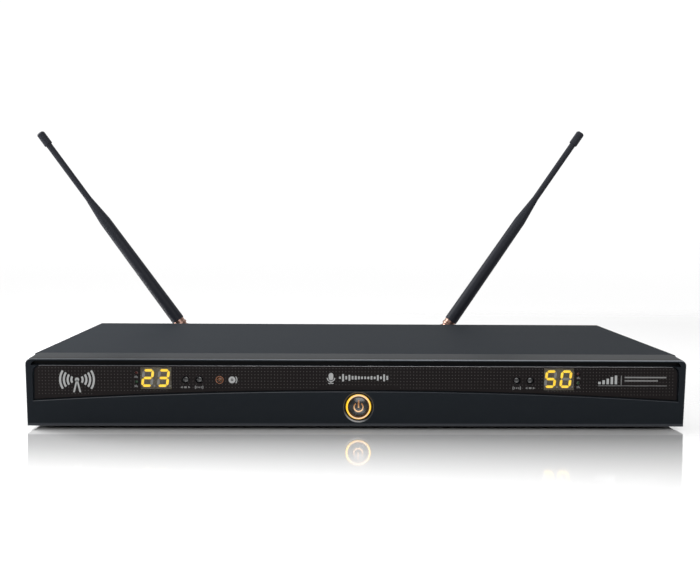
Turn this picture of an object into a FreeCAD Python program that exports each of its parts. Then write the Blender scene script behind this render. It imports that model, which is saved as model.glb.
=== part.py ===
import FreeCAD, Part
import math
import os
import re
import Sketcher
from FreeCAD import Placement, Rotation, Vector

# A one-unit-high twin wireless microphone receiver: a folded steel case, a moulded front
# bezel with a tinted window, the electronics inside and two folding whip antennas.
# Millimetres. X runs across the front, Y from front to back, Z up from the table.
# The origin is at table level under the middle of the case.

sizes = {
    # case
    "caseWidth": 425, "halfDepth": 95, "caseTop": 48, "footHeight": 2.5,
    "steel": 1.2, "coverGap": 0.3, "bendRadius": 1.5, "flangeTop": 44,
    "flangeOpeningHalf": 195, "flangeOpeningLow": 9, "flangeOpeningHigh": 40,
    "sideFlangeTop": 14, "earFlangeTop": 40, "earFlangeLength": 40,
    "embossHalfWidth": 150, "embossHalfDepth": 50, "embossDrop": 1,
    "screwClearance": 1.6, "earHole": 1.65,
    "earFrontY": -70, "earBackY": -46, "earLowZ": 15, "earHighZ": 35,
    "sideScrewZ": 9, "bezelScrewX": 204.3, "bezelScrewLow": 10, "bezelScrewHigh": 38,
    # feet
    "footRadius": 9, "footX": 180, "footFrontY": -65, "footBackY": 68,
    "footRecess": 1.9, "footRecessRadius": 3.4,
    # bezel
    "bezelDepth": 14.6, "bezelHalfWidth": 214.4, "bezelHalfBottom": 213.4,
    "bezelBackHalf": 212.9, "bezelFrontTop": 46.2, "bezelLipDepth": 2,
    "cornerRadius": 3.6, "edgeRadius": 0.9, "wallFront": 4, "cavityHalf": 200,
    "cavityLow": 5, "cavityHigh": 41.6, "postRadius": 3, "postX": 188,
    "postLow": 11, "postHigh": 37,
    # window and its recess
    "recessHalf": 209.6, "recessTop": 42.6, "recessCorner": 5.4, "recessDepth": 2.2,
    "recessEdge": 0.4, "archTop": 25.3, "archRadius": 3437, "windowGap": 0.8,
    "windowThickness": 1, "grooveHalf": 210.6, "grooveHigh": 45, "grooveDepth": 3.4,
    # displays, lamps and buttons
    "displayX": 131, "displayZ": 33.5, "displayWidth": 20, "displayHeight": 14.6,
    "displayFit": 0.3, "lampX": 143.6, "rfLampZ": 37, "afLampZ": 31, "lampRadius": 1,
    "lampHole": 1.2, "irX": -90, "buttonZ": 32.6, "irRadius": 1.9, "irHole": 2.2,
    "selectX": 112, "syncX": 103.2, "buttonRadius": 2.15, "buttonHole": 2.45,
    "buttonFlange": 3, "buttonFront": -93.5,
    "powerZ": 15.1, "powerRadius": 6.1, "powerFlange": 7.2, "ringInner": 6.4,
    "ringOuter": 8.2, "dishRadius": 10.1, "dishInner": 8.5, "dishDepth": 1.7,
    # boards
    "frontBoardHalf": 198, "frontBoardLow": 6.5, "frontBoardHigh": 41,
    "frontBoardY": -86, "boardThickness": 1.6,
    "mainBoardHalf": 195, "mainBoardFront": -62, "mainBoardBack": 86, "mainBoardZ": 9,
    "standoffRadius": 3, "standoffX": 187, "standoffFront": -57, "standoffBack": 78,
    # rear sockets
    "socketZ": 26, "leftJackX": -135.3, "rightJackX": 73.8, "jackThread": 4.7,
    "jackBarrel": 4.8, "jackMouth": 4.05, "nutHeight": 2.5, "mixX": -12, "mixBore": 3.25, "mixThread": 5,
    "leftXlrX": -62, "rightXlrX": 33, "xlrBody": 11.8, "xlrCavity": 9.6, "xlrHole": 12,
    "xlrScrewX": 9.5, "xlrScrewZ": 12, "pinRadius": 1.2, "pinCircle": 5.2,
    "dcX": -174, "dcZ": 18, "dcBore": 3.2,
    # antennas
    "pivotBehind": 27, "leftLean": -36.1, "rightLean": 34.04, "hingePin": 1.25,
    "whipTop": 227.5, "sleeveBase": 27,
}

doc = FreeCAD.newDocument("Receiver")
sheet = doc.addObject("Spreadsheet::Sheet", "Sizes")
for row, (name, value) in enumerate(sizes.items(), start=1):
    sheet.set("A%d" % row, name)
    sheet.set("B%d" % row, str(value))
    sheet.setAlias("B%d" % row, name)
doc.recompute()

nodes = []
sides = (("left", -1), ("right", 1))


def formula(text):
    """An expression on the sheet, from a formula that names its cells by alias."""
    return re.sub(r"[A-Za-z]\w*", lambda word: sheet.Name + "." + word[0], str(text))


def bind(item, **formulas):
    for prop, text in formulas.items():
        item.setExpression(prop, formula(text))
    return item


def place(item, x=0, y=0, z=0):
    for letter, text in zip("xyz", (x, y, z)):
        item.setExpression("Placement.Base." + letter, formula(text))
    return item


def node(item):
    """Counts an object as one of the receiver's pieces, under its own name."""
    item.Label = item.Name
    nodes.append(item)
    return item


# ---- sketches and the features made from them ----

def newSketch(body, name, role, offset=0):
    sketch = body.newObject("Sketcher::SketchObject", body.Name + "_" + name)
    plane = next(part for part in body.Origin.OriginFeatures if part.Role == role)
    sketch.AttachmentSupport = [(plane, "")]
    sketch.MapMode = "FlatFace"
    sketch.setExpression("AttachmentOffset.Base.z", formula(offset))
    return sketch


def hold(sketch, kind, geometry, point, text):
    """Fixes one coordinate of a point, measured from the sketch's origin."""
    now = sketch.getPoint(geometry, point)
    value = now.x if kind == "DistanceX" else now.y
    number = sketch.addConstraint(Sketcher.Constraint(kind, -1, 1, geometry, point, value))
    sketch.setExpression("Constraints[%d]" % number, formula(text))


def holdRadius(sketch, geometry, text):
    radius = sketch.Geometry[geometry].Radius
    number = sketch.addConstraint(Sketcher.Constraint("Radius", geometry, radius))
    sketch.setExpression("Constraints[%d]" % number, formula(text))


def polygon(sketch, corners):
    first = sketch.GeometryCount
    count = len(corners)
    turn = 2 * math.pi / count
    ring = [Vector(math.cos(turn * i), math.sin(turn * i), 0) for i in range(count)]
    for i in range(count):
        sketch.addGeometry(Part.LineSegment(ring[i], ring[(i + 1) % count]), False)
    for i in range(count):
        following = first + (i + 1) % count
        sketch.addConstraint(Sketcher.Constraint("Coincident", first + i, 2, following, 1))
    for i, (across, up) in enumerate(corners):
        hold(sketch, "DistanceX", first + i, 1, across)
        hold(sketch, "DistanceY", first + i, 1, up)


def rectangle(sketch, low, high):
    polygon(sketch, [low, (high[0], low[1]), high, (low[0], high[1])])


def circle(sketch, across, up, radius):
    number = sketch.addGeometry(Part.Circle(Vector(0, 0, 0), Vector(0, 0, 1), 1), False)
    hold(sketch, "DistanceX", number, 3, across)
    hold(sketch, "DistanceY", number, 3, up)
    holdRadius(sketch, number, radius)


def pad(body, sketch, length):
    feature = body.newObject("PartDesign::Pad", sketch.Name + "_pad")
    feature.Profile = sketch
    return bind(feature, Length=length)


def pocket(body, sketch, length, backwards=False):
    """Cuts away from the sketch, against its normal unless it runs backwards."""
    doc.recompute()
    before = body.Shape.Volume
    feature = body.newObject("PartDesign::Pocket", sketch.Name + "_pocket")
    feature.Profile = sketch
    feature.Reversed = backwards
    bind(feature, Length=length)
    doc.recompute()
    if body.Shape.Volume >= before - 0.001:
        raise RuntimeError(feature.Name + " cuts nothing")
    return feature


def soften(body, kind, size, wanted):
    """A fillet or chamfer on the edges whose bounding box is wanted."""
    doc.recompute()
    base = body.Tip
    names = []
    for number, edge in enumerate(base.Shape.Edges, start=1):
        if wanted(edge.BoundBox):
            names.append("Edge%d" % number)
    feature = body.newObject("PartDesign::" + kind, base.Name + "_" + kind)
    feature.Base = (base, names)
    bind(feature, **{"Radius" if kind == "Fillet" else "Size": size})
    doc.recompute()
    return feature


def turned(name, axis, profile):
    """A body turned about Y or Z through its own origin; the profile is (along, radius)."""
    body = doc.addObject("PartDesign::Body", name)
    if axis == "Y":
        sketch = newSketch(body, "profile", "YZ_Plane")
        polygon(sketch, profile)
    else:
        sketch = newSketch(body, "profile", "XZ_Plane")
        polygon(sketch, [(radius, along) for along, radius in profile])
    feature = body.newObject("PartDesign::Revolution", name + "_turn")
    feature.Profile = sketch
    feature.ReferenceAxis = (sketch, ["H_Axis" if axis == "Y" else "V_Axis"])
    feature.Angle = 360
    return body


# ---- plain solids ----

def block(name, low, high):
    item = doc.addObject("Part::Box", name)
    lengths = ["(%s) - (%s)" % (top, bottom) for bottom, top in zip(low, high)]
    bind(item, Length=lengths[0], Width=lengths[1], Height=lengths[2])
    return place(item, *low)


def rod(name, radius, length, axis=(0, 0, 1)):
    item = doc.addObject("Part::Cylinder", name)
    item.Placement = Placement(Vector(), Rotation(Vector(0, 0, 1), Vector(*axis)))
    return bind(item, Radius=radius, Height=length)


def join(name, pieces):
    item = doc.addObject("Part::MultiFuse", name)
    item.Shapes = pieces
    return item


def cut(name, base, tools):
    item = doc.addObject("Part::Cut", name)
    item.Base = base
    item.Tool = tools[0] if len(tools) == 1 else join(name + "_tools", tools)
    return item


def group(name, pieces):
    item = doc.addObject("Part::Compound", name)
    item.Links = pieces
    return item


def copies(name, seed, places, turn=None):
    """A group of placed copies of one seed piece."""
    items = []
    for number, spot in enumerate(places, start=1):
        item = group("%s_%d" % (name, number), [seed])
        rotation = spot[3] if len(spot) > 3 else (turn or Rotation())
        item.Placement = Placement(Vector(), rotation)
        items.append(place(item, *spot[:3]))
    return group(name, items)


# ---- case ----

def makeBasePan():
    body = doc.addObject("PartDesign::Body", "base_pan")
    half = "(caseWidth / 2 - steel - coverGap)"
    front = "bezelDepth - halfDepth"
    inside = "footHeight + steel"
    profile = newSketch(body, "profile", "YZ_Plane", "-" + half)
    wallTop = "caseTop - steel - coverGap"
    polygon(profile, [
        (front, "footHeight"), ("halfDepth", "footHeight"), ("halfDepth", wallTop),
        ("halfDepth - steel", wallTop), ("halfDepth - steel", inside),
        (front + " + steel", inside), (front + " + steel", "flangeTop"),
        (front, "flangeTop")])
    pad(body, profile, "2 * " + half)
    flanges = newSketch(body, "flanges", "XZ_Plane", "steel - halfDepth")
    for low, high in (("-" + half, "steel - " + half), (half + " - steel", half)):
        rectangle(flanges, (low, inside), (high, "sideFlangeTop"))
    pad(body, flanges, "2 * halfDepth - bezelDepth - 2 * steel")
    ears = newSketch(body, "ears", "XZ_Plane", "-earFlangeLength - (" + front + ")")
    for low, high in (("-" + half, "steel - " + half), (half + " - steel", half)):
        rectangle(ears, (low, inside), (high, "earFlangeTop"))
    pad(body, ears, "earFlangeLength - steel")
    emboss = newSketch(body, "emboss", "XY_Plane", "footHeight - embossDrop")
    rectangle(emboss, ("-embossHalfWidth", "-embossHalfDepth"),
              ("embossHalfWidth", "embossHalfDepth"))
    pad(body, emboss, "steel")
    dent = newSketch(body, "dent", "XY_Plane", inside)
    rectangle(dent, ("steel - embossHalfWidth", "steel - embossHalfDepth"),
              ("embossHalfWidth - steel", "embossHalfDepth - steel"))
    pocket(body, dent, "embossDrop")
    opening = newSketch(body, "opening", "XZ_Plane", "halfDepth - bezelDepth + 1")
    rectangle(opening, ("-flangeOpeningHalf", "flangeOpeningLow"),
              ("flangeOpeningHalf", "flangeOpeningHigh"))
    for x in ("-bezelScrewX", "bezelScrewX"):
        for z in ("bezelScrewLow", "bezelScrewHigh"):
            circle(opening, x, z, "screwClearance")
    pocket(body, opening, "steel + 2")
    rear = newSketch(body, "rear_holes", "XZ_Plane", "-halfDepth - 1")
    for x in ("leftJackX", "rightJackX"):
        circle(rear, x, "socketZ", "jackThread + 0.1")
    for x in ("leftXlrX", "rightXlrX"):
        circle(rear, x, "socketZ", "xlrHole")
        circle(rear, x + " - xlrScrewX", "socketZ + xlrScrewZ", "screwClearance")
        circle(rear, x + " + xlrScrewX", "socketZ - xlrScrewZ", "screwClearance")
    circle(rear, "mixX", "socketZ", "mixThread + 0.1")
    circle(rear, "dcX", "dcZ", "dcBore + 0.6")
    pocket(body, rear, "steel + 2", backwards=True)
    floor = newSketch(body, "floor_holes", "XY_Plane", inside + " + 1")
    for x in ("-footX", "footX"):
        for y in ("footFrontY", "footBackY"):
            circle(floor, x, y, "screwClearance")
    pocket(body, floor, "steel + 2")
    sideHoles = newSketch(body, "side_holes", "YZ_Plane", half + " + 1")
    for y in sideScrewRows:
        circle(sideHoles, y, "sideScrewZ", "screwClearance")
    for y in ("earFrontY", "earBackY"):
        for z in ("earLowZ", "earHighZ"):
            circle(sideHoles, y, z, "earHole")
    pocket(body, sideHoles, "caseWidth")
    return node(body)


def makeTopCover():
    body = doc.addObject("PartDesign::Body", "top_cover")
    half = "caseWidth / 2"
    inner = half + " - steel"
    sheetTop = "caseTop - steel"
    profile = newSketch(body, "profile", "XZ_Plane", "-halfDepth")
    polygon(profile, [
        ("-" + half, "footHeight"), ("-(" + inner + ")", "footHeight"),
        ("-(" + inner + ")", sheetTop), (inner, sheetTop), (inner, "footHeight"),
        (half, "footHeight"), (half, "caseTop"), ("-" + half, "caseTop")])
    pad(body, profile, "2 * halfDepth - bezelDepth")
    soften(body, "Fillet", "bendRadius",
           lambda box: box.YLength > 100 and box.ZMin > sizes["caseTop"] - 0.1)
    holes = newSketch(body, "holes", "YZ_Plane", half + " + 1")
    for y in sideScrewRows:
        circle(holes, y, "sideScrewZ", "screwClearance")
    for y in ("earFrontY", "earBackY"):
        for z in ("earLowZ", "earHighZ"):
            circle(holes, y, z, "earHole")
    pocket(body, holes, "caseWidth + 2")
    return node(body)


def makeFeetAndScrews():
    foot = turned("foot", "Z", [
        (0, "footRecessRadius"), (0, "footRadius - 1"), (1, "footRadius"),
        ("footHeight", "footRadius"), ("footHeight", "screwClearance"),
        ("footRecess", "screwClearance"), ("footRecess", "footRecessRadius")])
    corners = [(x, y) for x in ("-footX", "footX") for y in ("footFrontY", "footBackY")]
    node(copies("rubber_feet", foot, [(x, y, 0) for x, y in corners]))
    down = Rotation(Vector(1, 0, 0), 180)
    node(copies("foot_screws", screw, [(x, y, "footRecess") for x, y in corners], down))
    places = []
    for sign, turn in (("-", -90), ("", 90)):
        outward = Rotation(Vector(0, 1, 0), turn)
        places += [(sign + "caseWidth / 2", y, "sideScrewZ", outward) for y in sideScrewRows]
    backward = Rotation(Vector(1, 0, 0), -90)
    for x in ("-bezelScrewX", "bezelScrewX"):
        for z in ("bezelScrewLow", "bezelScrewHigh"):
            places.append((x, "bezelDepth + steel - halfDepth", z, backward))
    node(copies("case_screws", screw, places))


# ---- bezel, window and controls ----

def arched(sketch, inset):
    """The window's outline: rounded top corners over a shallow circular arch."""
    half = sizes["recessHalf"]
    corner = sizes["recessCorner"]
    top = sizes["recessTop"]
    radius = sizes["archRadius"]
    centre = sizes["archTop"] - radius
    low = centre + math.sqrt(radius ** 2 - half ** 2)
    quarter = math.radians(45)
    sketch.addGeometry(Part.LineSegment(Vector(-half, low, 0), Vector(-half, top - corner, 0)))
    sketch.addGeometry(Part.LineSegment(Vector(corner - half, top, 0), Vector(half - corner, top, 0)))
    sketch.addGeometry(Part.LineSegment(Vector(half, top - corner, 0), Vector(half, low, 0)))
    reach = corner * (1 - math.cos(quarter))
    sketch.addGeometry(Part.Arc(Vector(corner - half, top, 0), Vector(reach - half, top - reach, 0),
                                Vector(-half, top - corner, 0)))
    sketch.addGeometry(Part.Arc(Vector(half, top - corner, 0), Vector(half - reach, top - reach, 0),
                                Vector(half - corner, top, 0)))
    sketch.addGeometry(Part.Arc(Vector(half, low, 0), Vector(0, centre + radius, 0),
                                Vector(-half, low, 0)))
    # every pair of ends that meet is tied together
    ends = [(item.StartPoint, item.EndPoint) for item in sketch.Geometry]
    for first in range(6):
        for second in range(first + 1, 6):
            for a in (0, 1):
                for b in (0, 1):
                    if ends[first][a].distanceToPoint(ends[second][b]) < 0.001:
                        link = Sketcher.Constraint("Coincident", first, a + 1, second, b + 1)
                        sketch.addConstraint(link)
    side = "recessHalf - %s" % inset
    bend = "recessCorner - %s" % inset
    height = "recessTop - %s" % inset
    for line, sign in ((0, "-"), (2, "")):
        sketch.addConstraint(Sketcher.Constraint("Vertical", line))
        hold(sketch, "DistanceX", line, 1, "%s(%s)" % (sign, side))
    hold(sketch, "DistanceY", 0, 2, "%s - (%s)" % (height, bend))
    hold(sketch, "DistanceY", 2, 1, "%s - (%s)" % (height, bend))
    for point, sign in ((1, "-"), (2, "")):
        hold(sketch, "DistanceY", 1, point, height)
        hold(sketch, "DistanceX", 1, point, "%s(%s - (%s))" % (sign, side, bend))
    for number, text in ((3, bend), (4, bend), (5, "archRadius + %s" % inset)):
        holdRadius(sketch, number, text)
    hold(sketch, "DistanceX", 5, 3, 0)
    hold(sketch, "DistanceY", 5, 3, "archTop - archRadius")


def makeBezel():
    body = doc.addObject("PartDesign::Body", "front_bezel")
    back = "bezelDepth - halfDepth"
    plan = newSketch(body, "plan", "XY_Plane", "footHeight")
    polygon(plan, [
        ("-bezelBackHalf", back), ("-bezelHalfWidth", "bezelLipDepth - halfDepth"),
        ("-bezelHalfWidth", "-halfDepth"), ("bezelHalfWidth", "-halfDepth"),
        ("bezelHalfWidth", "bezelLipDepth - halfDepth"), ("bezelBackHalf", back)])
    pad(body, plan, "caseTop - footHeight")
    slope = newSketch(body, "slope", "YZ_Plane", "bezelHalfWidth + 1")
    polygon(slope, [("-halfDepth", "bezelFrontTop"), (back, "caseTop"),
                    (back, "caseTop + 1"), ("-halfDepth - 1", "caseTop + 1"),
                    ("-halfDepth - 1", "bezelFrontTop")])
    pocket(body, slope, "2 * bezelHalfWidth + 2")
    taper = newSketch(body, "taper", "XZ_Plane", "halfDepth + 1")
    for sign in ("-", ""):
        polygon(taper, [(sign + "bezelHalfBottom", "footHeight"),
                        (sign + "bezelHalfWidth", "bezelFrontTop"),
                        (sign + "bezelHalfWidth", "caseTop + 1"),
                        (sign + "(bezelHalfWidth + 2)", "caseTop + 1"),
                        (sign + "(bezelHalfWidth + 2)", "footHeight")])
    pocket(body, taper, "bezelDepth + 2")
    soften(body, "Fillet", "cornerRadius",
           lambda box: box.ZMin > 44 and box.XLength < 6 and box.YLength > 1)
    soften(body, "Fillet", "edgeRadius",
           lambda box: box.YMax < -sizes["halfDepth"] + 0.1)
    recess = newSketch(body, "recess", "XZ_Plane", "halfDepth")
    arched(recess, "0")
    pocket(body, recess, "recessDepth")
    soften(body, "Chamfer", "recessEdge",
           lambda box: box.YMax < -sizes["halfDepth"] + 0.1 and 200 < box.XLength < 425
           and 3 < box.ZMax - sizes["footHeight"] < 25)
    groove = newSketch(body, "groove", "XZ_Plane", "halfDepth")
    polygon(groove, [("-grooveHalf", "recessTop - 0.6"), ("grooveHalf", "recessTop - 0.6"),
                     ("grooveHalf", "grooveHigh - 2"), ("grooveHalf - 2", "grooveHigh"),
                     ("2 - grooveHalf", "grooveHigh"), ("-grooveHalf", "grooveHigh - 2")])
    pocket(body, groove, "grooveDepth")
    cavity = newSketch(body, "cavity", "XZ_Plane", "halfDepth - bezelDepth")
    rectangle(cavity, ("-cavityHalf", "cavityLow"), ("cavityHalf", "cavityHigh"))
    pocket(body, cavity, "bezelDepth - wallFront", backwards=True)
    posts = newSketch(body, "posts", "XZ_Plane", "-frontBoardY")
    for x in ("-postX", "postX"):
        for z in ("postLow", "postHigh"):
            circle(posts, x, z, "postRadius")
    pad(body, posts, "halfDepth + frontBoardY - wallFront")
    openings = newSketch(body, "openings", "XZ_Plane", "halfDepth + 1")
    for sign in ("-", ""):
        middle = sign + "displayX"
        halfWide = "(displayWidth / 2 + displayFit)"
        halfHigh = "(displayHeight / 2 + displayFit)"
        rectangle(openings, (middle + " - " + halfWide, "displayZ - " + halfHigh),
                  (middle + " + " + halfWide, "displayZ + " + halfHigh))
        circle(openings, sign + "lampX", "rfLampZ", "lampHole")
        circle(openings, sign + "lampX", "afLampZ", "lampHole")
        circle(openings, sign + "selectX", "buttonZ", "buttonHole")
        circle(openings, sign + "syncX", "buttonZ", "buttonHole")
    circle(openings, "irX", "buttonZ", "irHole")
    circle(openings, 0, "powerZ", "ringOuter")
    pocket(body, openings, "wallFront + 2")
    dish = body.newObject("PartDesign::SubtractiveCone", "front_bezel_dish")
    plane = next(part for part in body.Origin.OriginFeatures if part.Role == "XZ_Plane")
    dish.AttachmentSupport = [(plane, "")]
    dish.MapMode = "FlatFace"
    dish.setExpression("AttachmentOffset.Base.y", formula("powerZ"))
    dish.setExpression("AttachmentOffset.Base.z", formula("halfDepth - dishDepth"))
    bind(dish, Radius1="dishInner", Radius2="dishRadius", Height="dishDepth")
    pilots = newSketch(body, "pilots", "XZ_Plane", "halfDepth - bezelDepth")
    for x in ("-bezelScrewX", "bezelScrewX"):
        for z in ("bezelScrewLow", "bezelScrewHigh"):
            circle(pilots, x, z, "screwClearance - 0.1")
    pocket(body, pilots, 7, backwards=True)
    boardPilots = newSketch(body, "board_pilots", "XZ_Plane", "-frontBoardY")
    for x in ("-postX", "postX"):
        for z in ("postLow", "postHigh"):
            circle(boardPilots, x, z, "screwClearance - 0.1")
    pocket(body, boardPilots, 4.5, backwards=True)
    return node(body)


def makeWindow():
    body = doc.addObject("PartDesign::Body", "display_window")
    outline = newSketch(body, "outline", "XZ_Plane", "halfDepth - recessDepth")
    arched(outline, "windowGap")
    pad(body, outline, "windowThickness")
    holes = newSketch(body, "holes", "XZ_Plane", "halfDepth")
    for sign in ("-", ""):
        circle(holes, sign + "selectX", "buttonZ", "buttonHole")
        circle(holes, sign + "syncX", "buttonZ", "buttonHole")
    pocket(body, holes, "recessDepth + 1")
    return node(body)


def makeControls():
    ring = turned("power_light_ring", "Y", [
        ("-halfDepth + 3.5", "ringInner"), ("-halfDepth + 1.3", "ringInner"),
        ("-halfDepth + 0.7", "ringInner + 0.5"), ("-halfDepth + 0.7", "ringOuter - 0.5"),
        ("-halfDepth + 1.3", "ringOuter"), ("-halfDepth + 3.5", "ringOuter")])
    node(place(ring, 0, 0, "powerZ"))
    cap = turned("power_button", "Y", [
        ("-halfDepth + 0.2", 0), ("-halfDepth + 0.35", "powerRadius * 0.42"),
        ("-halfDepth + 0.8", "powerRadius * 0.74"), ("-halfDepth + 1.5", "powerRadius"),
        ("-halfDepth + 3.6", "powerRadius"), ("-halfDepth + 3.6", "powerFlange"),
        ("-halfDepth + 4.2", "powerFlange"), ("-halfDepth + 4.2", 0)])
    node(place(cap, 0, 0, "powerZ"))
    for side, sign in sides:
        for job in ("select", "sync"):
            button = turned("%s_button_%s" % (job, side), "Y", [
                ("buttonFront", 0), ("buttonFront + 0.25", "buttonRadius - 0.3"),
                ("buttonFront + 0.6", "buttonRadius"), ("4.1 - halfDepth", "buttonRadius"),
                ("4.1 - halfDepth", "buttonFlange"), ("4.6 - halfDepth", "buttonFlange"),
                ("4.6 - halfDepth", 0)])
            node(place(button, "%d * %sX" % (sign, job), 0, "buttonZ"))
    body = block("switch_body", (-3, "frontBoardY - 3", -3), (3, "frontBoardY", 3))
    plunger = rod("switch_plunger", 1.5, 0.8, (0, -1, 0))
    place(plunger, 0, "frontBoardY - 3", 0)
    switch = join("switch", [body, plunger])
    spots = [("%d * %sX" % (sign, job), 0, "buttonZ")
             for side, sign in sides for job in ("select", "sync")]
    node(copies("push_switches", switch, spots + [(0, 0, "powerZ")]))


def makeFrontBoard():
    board = block("front_board_blank", ("-frontBoardHalf", "frontBoardY", "frontBoardLow"),
                  ("frontBoardHalf", "frontBoardY + boardThickness", "frontBoardHigh"))
    holes = []
    spots = [(x, z) for x in ("-postX", "postX") for z in ("postLow", "postHigh")]
    for x, z in spots:
        hole = rod("front_board_hole_%d" % len(holes), "screwClearance", 4, (0, 1, 0))
        holes.append(place(hole, x, "frontBoardY - 1", z))
    node(cut("display_board", board, holes))
    for side, sign in sides:
        x = "%d * displayX" % sign
        node(block("digit_display_" + side,
                   (x + " - displayWidth / 2", "0.2 + recessDepth - halfDepth",
                    "displayZ - displayHeight / 2"),
                   (x + " + displayWidth / 2", "frontBoardY", "displayZ + displayHeight / 2")))
    lamp = turned("lamp", "Y", [
        ("0.3 + recessDepth - halfDepth", 0), ("0.6 + recessDepth - halfDepth", "lampRadius - 0.2"),
        ("1 + recessDepth - halfDepth", "lampRadius"), ("frontBoardY", "lampRadius"),
        ("frontBoardY", 0)])
    for name, z in (("rf_lamps", "rfLampZ"), ("af_lamps", "afLampZ")):
        node(copies(name, lamp, [("-lampX", 0, z), ("lampX", 0, z)]))
    ir = turned("ir_emitter", "Y", [
        ("0.3 + recessDepth - halfDepth", 0), ("0.8 + recessDepth - halfDepth", "irRadius - 0.6"),
        ("1.5 + recessDepth - halfDepth", "irRadius"), ("frontBoardY", "irRadius"),
        ("frontBoardY", 0)])
    node(place(ir, "irX", 0, "buttonZ"))


# ---- inside the case ----

def makeMainBoard():
    spots = [(x, y) for x in ("-standoffX", 0, "standoffX")
             for y in ("standoffFront", "standoffBack")]
    board = block("main_board_blank", ("-mainBoardHalf", "mainBoardFront", "mainBoardZ"),
                  ("mainBoardHalf", "mainBoardBack", "mainBoardZ + boardThickness"))
    holes = []
    for x, y in spots:
        hole = rod("main_board_hole_%d" % len(holes), "screwClearance", 4)
        holes.append(place(hole, x, y, "mainBoardZ - 1"))
    node(cut("main_board", board, holes))
    tube = turned("standoff", "Z", [
        ("footHeight + steel", "screwClearance"), ("footHeight + steel", "standoffRadius"),
        ("mainBoardZ", "standoffRadius"), ("mainBoardZ", "screwClearance")])
    node(copies("board_standoffs", tube, [(x, y, 0) for x, y in spots]))
    backward = Rotation(Vector(1, 0, 0), -90)
    places = [(x, y, "mainBoardZ + boardThickness") for x, y in spots]
    places += [(x, "frontBoardY + boardThickness", z, backward)
               for x in ("-postX", "postX") for z in ("postLow", "postHigh")]
    node(copies("board_screws", shortScrew, places))
    top = "mainBoardZ + boardThickness"
    for side, jack in (("left", "leftJackX"), ("right", "rightJackX")):
        node(block("receiver_module_" + side, (jack + " - 26", 20, top),
                   (jack + " + 26", 70, top + " + 5.4")))
        lead = doc.addObject("Part::Feature", "antenna_lead_" + side)
        start = sizes["halfDepth"] - 13
        bend = 9
        drop = 62
        low = sizes["mainBoardZ"] + sizes["boardThickness"] + 5.4
        high = sizes["socketZ"]
        ends = [Vector(0, start, high), Vector(0, drop + bend, high),
                Vector(0, drop, high - bend), Vector(0, drop, low)]
        middle = Vector(0, drop + bend * (1 - math.sqrt(0.5)), high - bend * (1 - math.sqrt(0.5)))
        path = Part.Wire([Part.LineSegment(ends[0], ends[1]).toShape(),
                          Part.Arc(ends[1], middle, ends[2]).toShape(),
                          Part.LineSegment(ends[2], ends[3]).toShape()])
        section = Part.Wire([Part.Circle(ends[0], Vector(0, 1, 0), 0.9).toShape()])
        lead.Shape = path.makePipeShell([section], True, False)
        node(place(lead, jack, 0, 0))
    ribbon = doc.addObject("PartDesign::Body", "ribbon_cable")
    strip = newSketch(ribbon, "strip", "YZ_Plane", 40)
    back = "frontBoardY + boardThickness"
    polygon(strip, [(back, 17), (-55, 17), (-55, top), (-56, top), (-56, 16), (back, 16)])
    pad(ribbon, strip, 28)
    node(ribbon)
    can = rod("capacitor", 4, 12)
    place(can, 0, 0, top)
    node(copies("capacitors", can, [(-180, 55, 0), (-180, 42, 0), (-90, -30, 0),
                                    (-78, -30, 0), (-66, -30, 0), (130, -30, 0)]))
    chip = block("chip", (-7, -7, top), (7, 7, top + " + 1.8"))
    node(copies("chips", chip, [(-120, -20, 0), (20, -25, 0), (60, -20, 0), (-20, 30, 0)]))
    node(block("voltage_regulator", (-183, 12, top + " + 3"), (-173, 16.6, top + " + 18")))
    fins = [block("heat_sink_plate", (-192, 16.6, top), (-164, 18.6, top + " + 22"))]
    for number in range(5):
        low = -192 + 6.5 * number
        fins.append(block("heat_sink_fin_%d" % number, (low, 18.6, top), (low + 2, 28, top + " + 22")))
    node(join("heat_sink", fins))


# ---- rear sockets ----

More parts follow.
